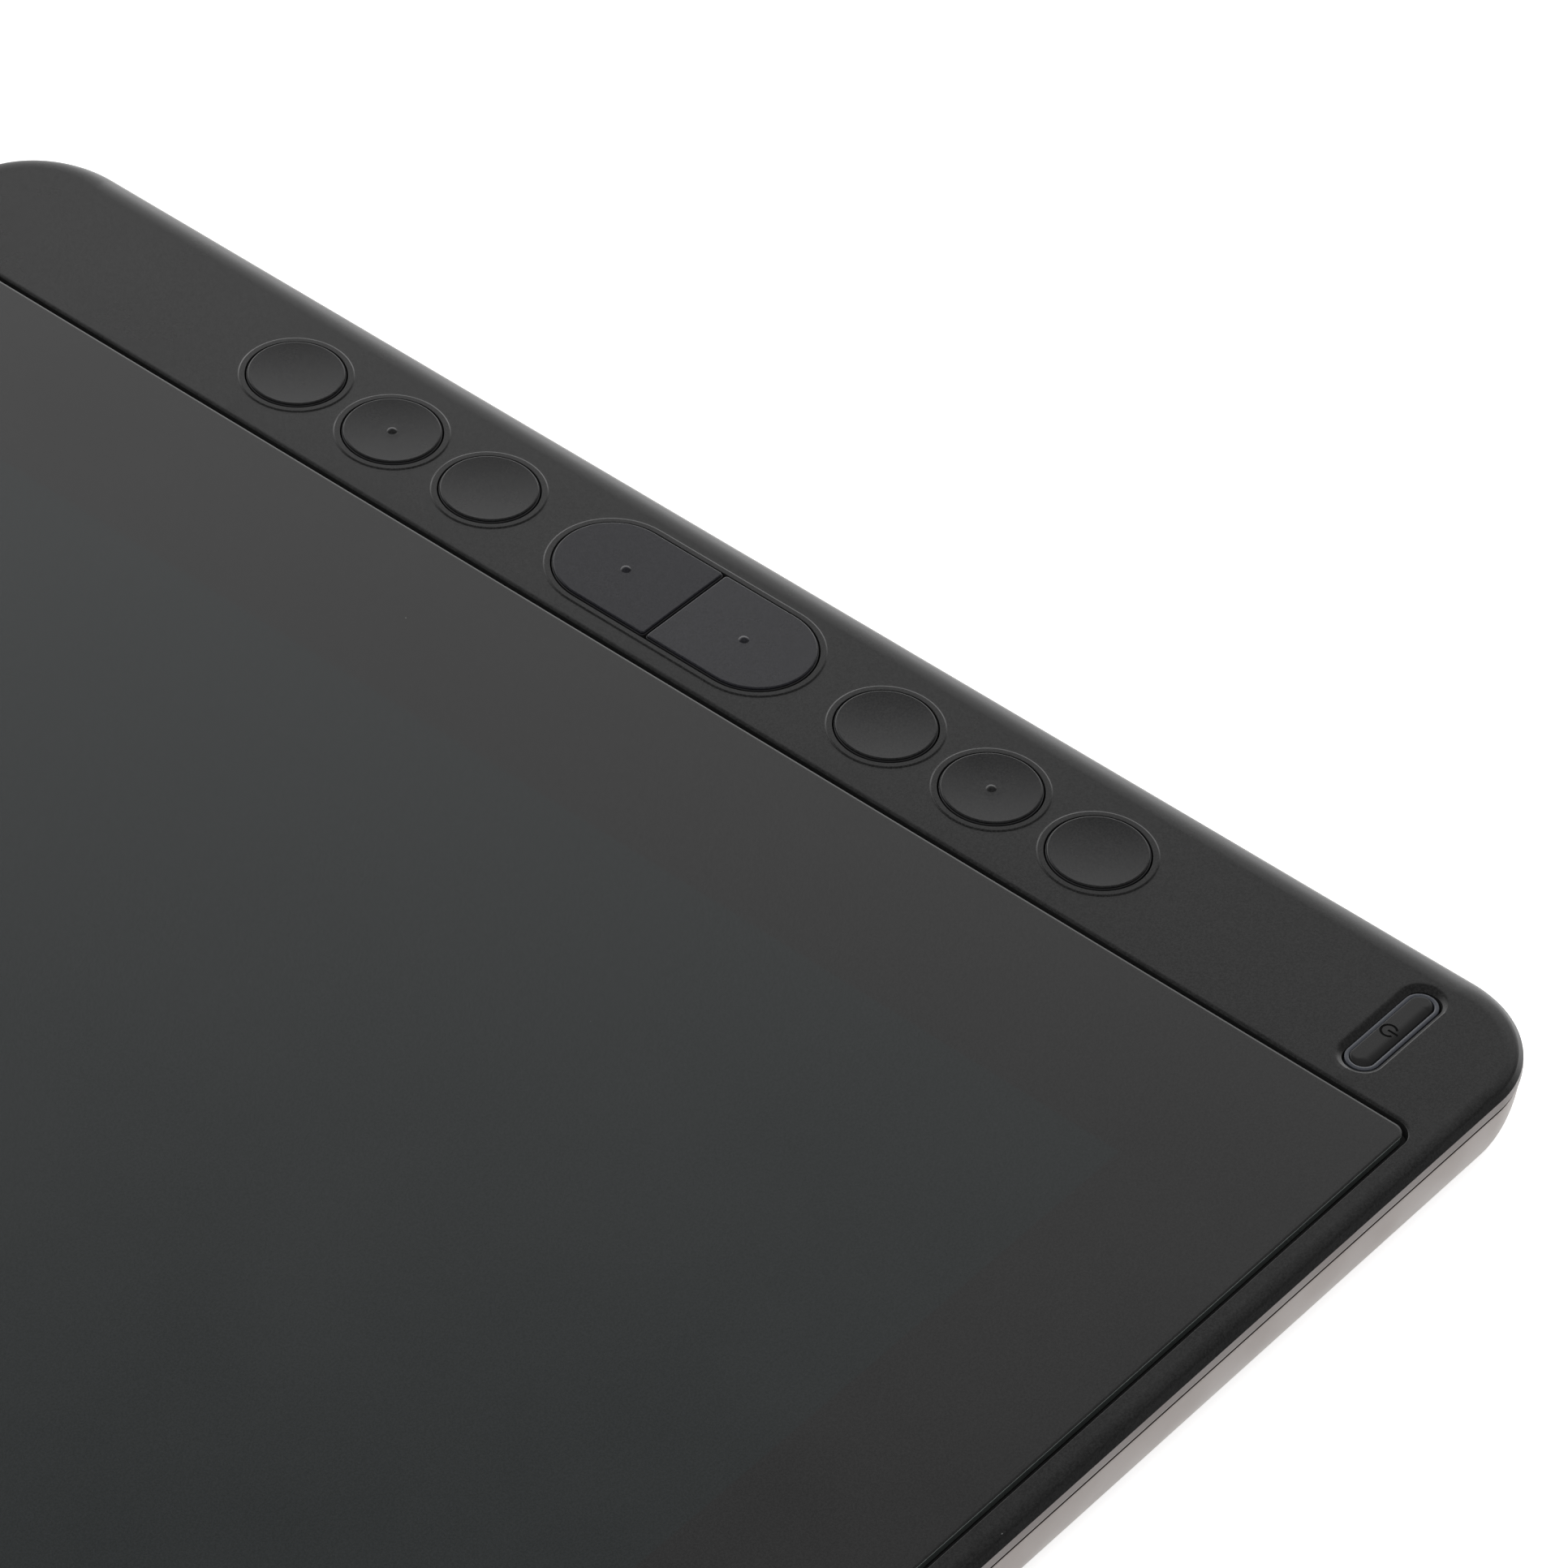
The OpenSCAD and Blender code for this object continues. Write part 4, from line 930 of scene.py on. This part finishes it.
def feet():
    for name in FEET:
        low, high = foot_box(name)
        skin = Skin()
        skin.solid([skin.ring(rect_outline(low, high, FOOT_R, FOOT_R, inset), z) for inset, z in FOOT_SECTION])
        piece = skin.mesh_object(name + "_skin")
        place(piece, "housing", "foot_rubber", [name], rubber)


# Keys, with one slot for the cap and one for what shows in the gap round it, which is much lighter than the cap
# as painted light in the shaded gap
def on_key_side(point, normal):
    return point.z < KEY_LEDGE[-1][1] + NEAR


def dome(skin, x, y, z):
    """Raised dot, closed under the surface it stands on"""
    ball = ball_radius(DOT_R, DOT_H)
    reach = math.asin(DOT_R / ball)
    turns = [reach * (1 - i / DOME_STEPS) for i in range(DOME_STEPS)]
    section = [(DOT_R, z - DOT_ROOT)]
    section += [(ball * math.sin(a), z + DOT_H - ball + ball * math.cos(a)) for a in turns]
    skin.solid([skin.ring(circle_outline(x, y, r, DOT_STEPS), height) for r, height in section])


def round_key_section(dotted):
    """Section of a round key as [radius, height], from its stem over the flange to the middle of the dish"""
    flange_r = KEY_R + FLANGE_W
    section = [(STEM_R, Z_STEM), (STEM_R, Z_FLANGE), (flange_r, Z_FLANGE), (flange_r, Z_FLANGE + FLANGE_T)]
    section += [(KEY_R + out, z) for out, z in KEY_LEDGE]
    section += [(KEY_R - CAP_ROUND * (1 - math.cos(a)), Z_CAP - CAP_EDGE_DROP - CAP_ROUND * (1 - math.sin(a)))
                for a in quarter_turn(9)]
    ball = ball_radius(KEY_R, DISH_H)
    first, last = KEY_R - CAP_ROUND - DISH_IN, DISH_MIDDLE_DOTTED if dotted else DISH_MIDDLE
    reach = [first - (first - last) * i / DISH_STEPS for i in range(DISH_STEPS + 1)]
    return section + [(r, Z_CAP - DISH_H + ball - math.sqrt(ball ** 2 - r ** 2)) for r in reach]


def round_keys():
    for name in ROUND_KEYS:
        x, y = key_centre(name)
        dotted = name in DOTTED_KEYS
        skin = Skin()
        skin.solid([skin.ring(circle_outline(x, y, r), z) for r, z in round_key_section(dotted)])
        if dotted:
            dome(skin, x, y, Z_CAP - DISH_H)
        piece = skin.mesh_object(name + "_skin")
        paint(piece, 1, on_key_side)
        place(piece, name + "_body", "key_plastic", [name], key_top, key_side_painted_light)


def pill_keys():
    section = [(-out, z) for out, z in KEY_LEDGE] + quarter(0, Z_CAP - CAP_ROUND, CAP_ROUND, CAP_ROUND)
    for number, side in ((1, -1), (2, 1)):
        name = f"pill_key_{number}"
        y = side * PILL_LEN / 4
        skin = Skin()
        rings = [skin.ring(half_pill_outline(side, 0, FLANGE_W), z) for z in (Z_FLANGE, Z_FLANGE + FLANGE_T)]
        rings += [skin.ring(half_pill_outline(side, inset), z) for inset, z in section]
        skin.wall(rings)
        skin.fill(rings[-1])
        stem = [skin.ring(circle_outline(KEY_X, y, STEM_R), z) for z in (Z_STEM, Z_FLANGE)]
        skin.wall(stem)
        skin.fill(stem[0])
        skin.fill(rings[0], stem[-1])
        dome(skin, KEY_X, y, Z_CAP)
        piece = skin.mesh_object(name + "_skin")
        paint(piece, 1, on_key_side)
        place(piece, name + "_body", "key_plastic", [name], pill_tops[number - 1], key_side_painted_light)


def power_outline(grow):
    """Outline of the light ring, grown all round"""
    return lambda inset: power_slot(RING_LEN + 2 * (grow - inset), RING_W + 2 * (grow - inset))


def light_ring():
    inner = RING_T + RING_UNDER
    foot = RING_TOP - RING_RISE
    section = [(inner, Z_UNDER - FLANGE_T), (-RING_FLANGE, Z_UNDER - FLANGE_T), (-RING_FLANGE, Z_UNDER),
               (0, Z_UNDER)]
    section += quarter(0, foot, RING_CREST, RING_RISE)
    section += [(inner - inset, z) for inset, z in quarter(0, foot, inner - RING_CREST, RING_RISE)[-2::-1]]
    skin = Skin()
    rings = [skin.ring(power_outline(0)(inset), z) for inset, z in section]
    skin.wall(rings + [rings[0]])
    piece = skin.mesh_object("power_light_ring_skin")
    place(piece, "housing", "light_ring", ["power_light_ring"], ring_grey)


def standby_cutters(z_low, z_high):
    """Groove of the standby sign: an open ring and a bar"""
    outer, inner = [arc(SIGN_X, SIGN_Y, r, SIGN_START, SIGN_TURN, SIGN_STEPS)
                    for r in (SIGN_R + SIGN_HALF, SIGN_R - SIGN_HALF)]
    x0, x1 = SIGN_X - SIGN_HALF, SIGN_X + SIGN_HALF
    y0, y1 = [SIGN_Y + end for end in SIGN_BAR]
    made = []
    for outline in (outer + inner[::-1], [(x0, y0), (x1, y0), (x1, y1), (x0, y1)]):
        skin = Skin()
        skin.solid([skin.ring(outline, z) for z in (z_low, z_high)])
        made.append(skin.mesh_object("standby_cutter"))
    return made


def in_sign(point, normal):
    """Bottom of the standby sign"""
    return abs(point.z - POWER_TOP + SIGN_DEPTH) < 0.002 and normal.z > 0.999


def power_key():
    outline = power_outline(-RING_T - RING_GAP)
    z_flange = Z_UNDER - 2 * FLANGE_T - POWER_FLANGE_DOWN
    skin = Skin()
    rings = skin.loft(power_outline(POWER_FLANGE), [(0, z_flange), (0, z_flange + FLANGE_T)])
    rings.append(skin.ring(outline(0), z_flange + FLANGE_T))
    for across, drop in POWER_SLOPE:
        insets = (SLOPE_FAR_W * across + SLOPE_START, SLOPE_NEAR_W * across)
        heights = (POWER_TOP - SLOPE_FAR_DROP * drop, POWER_TOP - drop)
        rings.append(skin.lean_ring(outline, to_corner, insets, heights))
    # The key's flange top, its side and the first band of its slope take slot 1, as painted shade at the key's
    # edge
    skin.wall(rings[1:5], slot=1)
    skin.wall(rings[4:])
    skin.fill(rings[0])
    skin.fill(rings[-1])
    piece = skin.mesh_object("power_key_skin")
    carve(piece, *standby_cutters(POWER_TOP - SIGN_DEPTH, POWER_TOP + 2 * SIGN_DEPTH))
    paint(piece, 1, in_sign)
    place(piece, "power_key_body", "key_plastic", ["power_key"], power_top, sign_and_edge_painted_shade)


top_shell()
bottom_shell()
glass()
feet()
round_keys()
pill_keys()
light_ring()
power_key()

# Floor, in metres: half its side and how far it lies under the feet
FLOOR_HALF = 15.0
FLOOR_DROP = 0.00005
FLOOR_COLOUR = (0.7, 0.7, 0.7, 1)
# Light that the floor adds where it is seen, so that it shows as a pale background
FLOOR_GLOW = 0.8


def floor_finish():
    """Plain pale floor that keeps the shadow, with its glow for the camera, in metal and through glass"""
    finish = bpy.data.materials.new("floor")
    finish.use_nodes = True
    nodes = Nodes(finish.node_tree)
    shader = nodes.tree.nodes["Principled BSDF"]
    shader.inputs["Base Color"].default_value = FLOOR_COLOUR
    shader.inputs["Roughness"].default_value = 0.9
    shader.inputs["Specular IOR Level"].default_value = 0.0
    rays = nodes.node("ShaderNodeLightPath")
    seen = rays.outputs["Is Camera Ray"]
    for name in ("Is Glossy Ray", "Is Transmission Ray"):
        seen = nodes.math("MAXIMUM", seen, rays.outputs[name])
    glow = nodes.node("ShaderNodeEmission")
    nodes.link(nodes.math("MULTIPLY", seen, FLOOR_GLOW), glow.inputs["Strength"])
    both = nodes.node("ShaderNodeAddShader")
    nodes.link(shader.outputs["BSDF"], both.inputs[0])
    nodes.link(glow.outputs["Emission"], both.inputs[1])
    nodes.link(both.outputs["Shader"], nodes.tree.nodes["Material Output"].inputs["Surface"])
    return finish


def make_floor():
    half = FLOOR_HALF
    mesh = bpy.data.meshes.new("floor")
    mesh.from_pydata([(-half, -half, 0), (half, -half, 0), (half, half, 0), (-half, half, 0)], [],
                     [(0, 1, 2, 3)])
    floor = bpy.data.objects.new("floor", mesh)
    floor.location.z = -FLOOR_DROP
    bpy.context.scene.collection.objects.link(floor)
    mesh.materials.append(floor_finish())


# Soft light: an even dim room, a pale backdrop, and more light near the foot of the backdrop. Each of the two
# fades out between two heights, written as sines, and to the sides between two cosines of the turn away from it
ROOM = 0.25
BACKDROP = 0.86
BACKDROP_FADE = (0.622, 0.775)
BACKDROP_FOOT = 1.06
BACKDROP_FOOT_FADE = (0.15, 0.5)
BACKDROP_SIDES = (0.2, 1.0)
# Where the middle of the backdrop stands, seen from above
BACKDROP_TURN = math.radians(235)


def make_world():
    world = bpy.data.worlds.new("studio")
    bpy.context.scene.world = world
    world.use_nodes = True
    nodes = Nodes(world.node_tree)

    def vector(operation, source, value):
        made = nodes.node("ShaderNodeVectorMath", operation=operation)
        nodes.link(source, made.inputs[0])
        made.inputs[1].default_value = value
        return made.outputs["Value" if operation == "DOT_PRODUCT" else "Vector"]

    def step(source, before, after):
        return nodes.map_range(source, before, after, interpolation_type="SMOOTHSTEP")

    way = nodes.node("ShaderNodeTexCoord").outputs["Generated"]
    height = vector("DOT_PRODUCT", way, (0, 0, 1))
    level_way = vector("NORMALIZE", vector("MULTIPLY", way, (1, 1, 0)), (0, 0, 0))
    facing = vector("DOT_PRODUCT", level_way, (math.cos(BACKDROP_TURN), math.sin(BACKDROP_TURN), 0))
    pale = nodes.math("ADD", step(height, BACKDROP_FADE, (BACKDROP, 0.0)),
                      step(height, BACKDROP_FOOT_FADE, (BACKDROP_FOOT, 0.0)))
    strength = nodes.math("ADD", nodes.math("MULTIPLY", pale, step(facing, BACKDROP_SIDES, (0.0, 1.0))), ROOM)
    background = nodes.tree.nodes["Background"]
    nodes.link(strength, background.inputs["Strength"])
    background.inputs["Color"].default_value = (1, 1, 1, 1)


# Lamp over the tablet, in metres and watts
LAMP_PLACE = (0.2, 0.1, 2.2)
LAMP_SIZE = 2.4
LAMP_POWER = 32


def make_lamp():
    data = bpy.data.lights.new("overhead", "AREA")
    data.shape = "DISK"
    data.size = LAMP_SIZE
    data.energy = LAMP_POWER
    lamp = bpy.data.objects.new("overhead", data)
    bpy.context.scene.collection.objects.link(lamp)
    lamp.location = LAMP_PLACE
    lamp.rotation_euler = (-Vector(LAMP_PLACE)).to_track_quat("-Z", "Y").to_euler()
    lamp.visible_glossy = False


make_floor()
make_world()
make_lamp()

bpy.context.scene.view_settings.view_transform = "Standard"
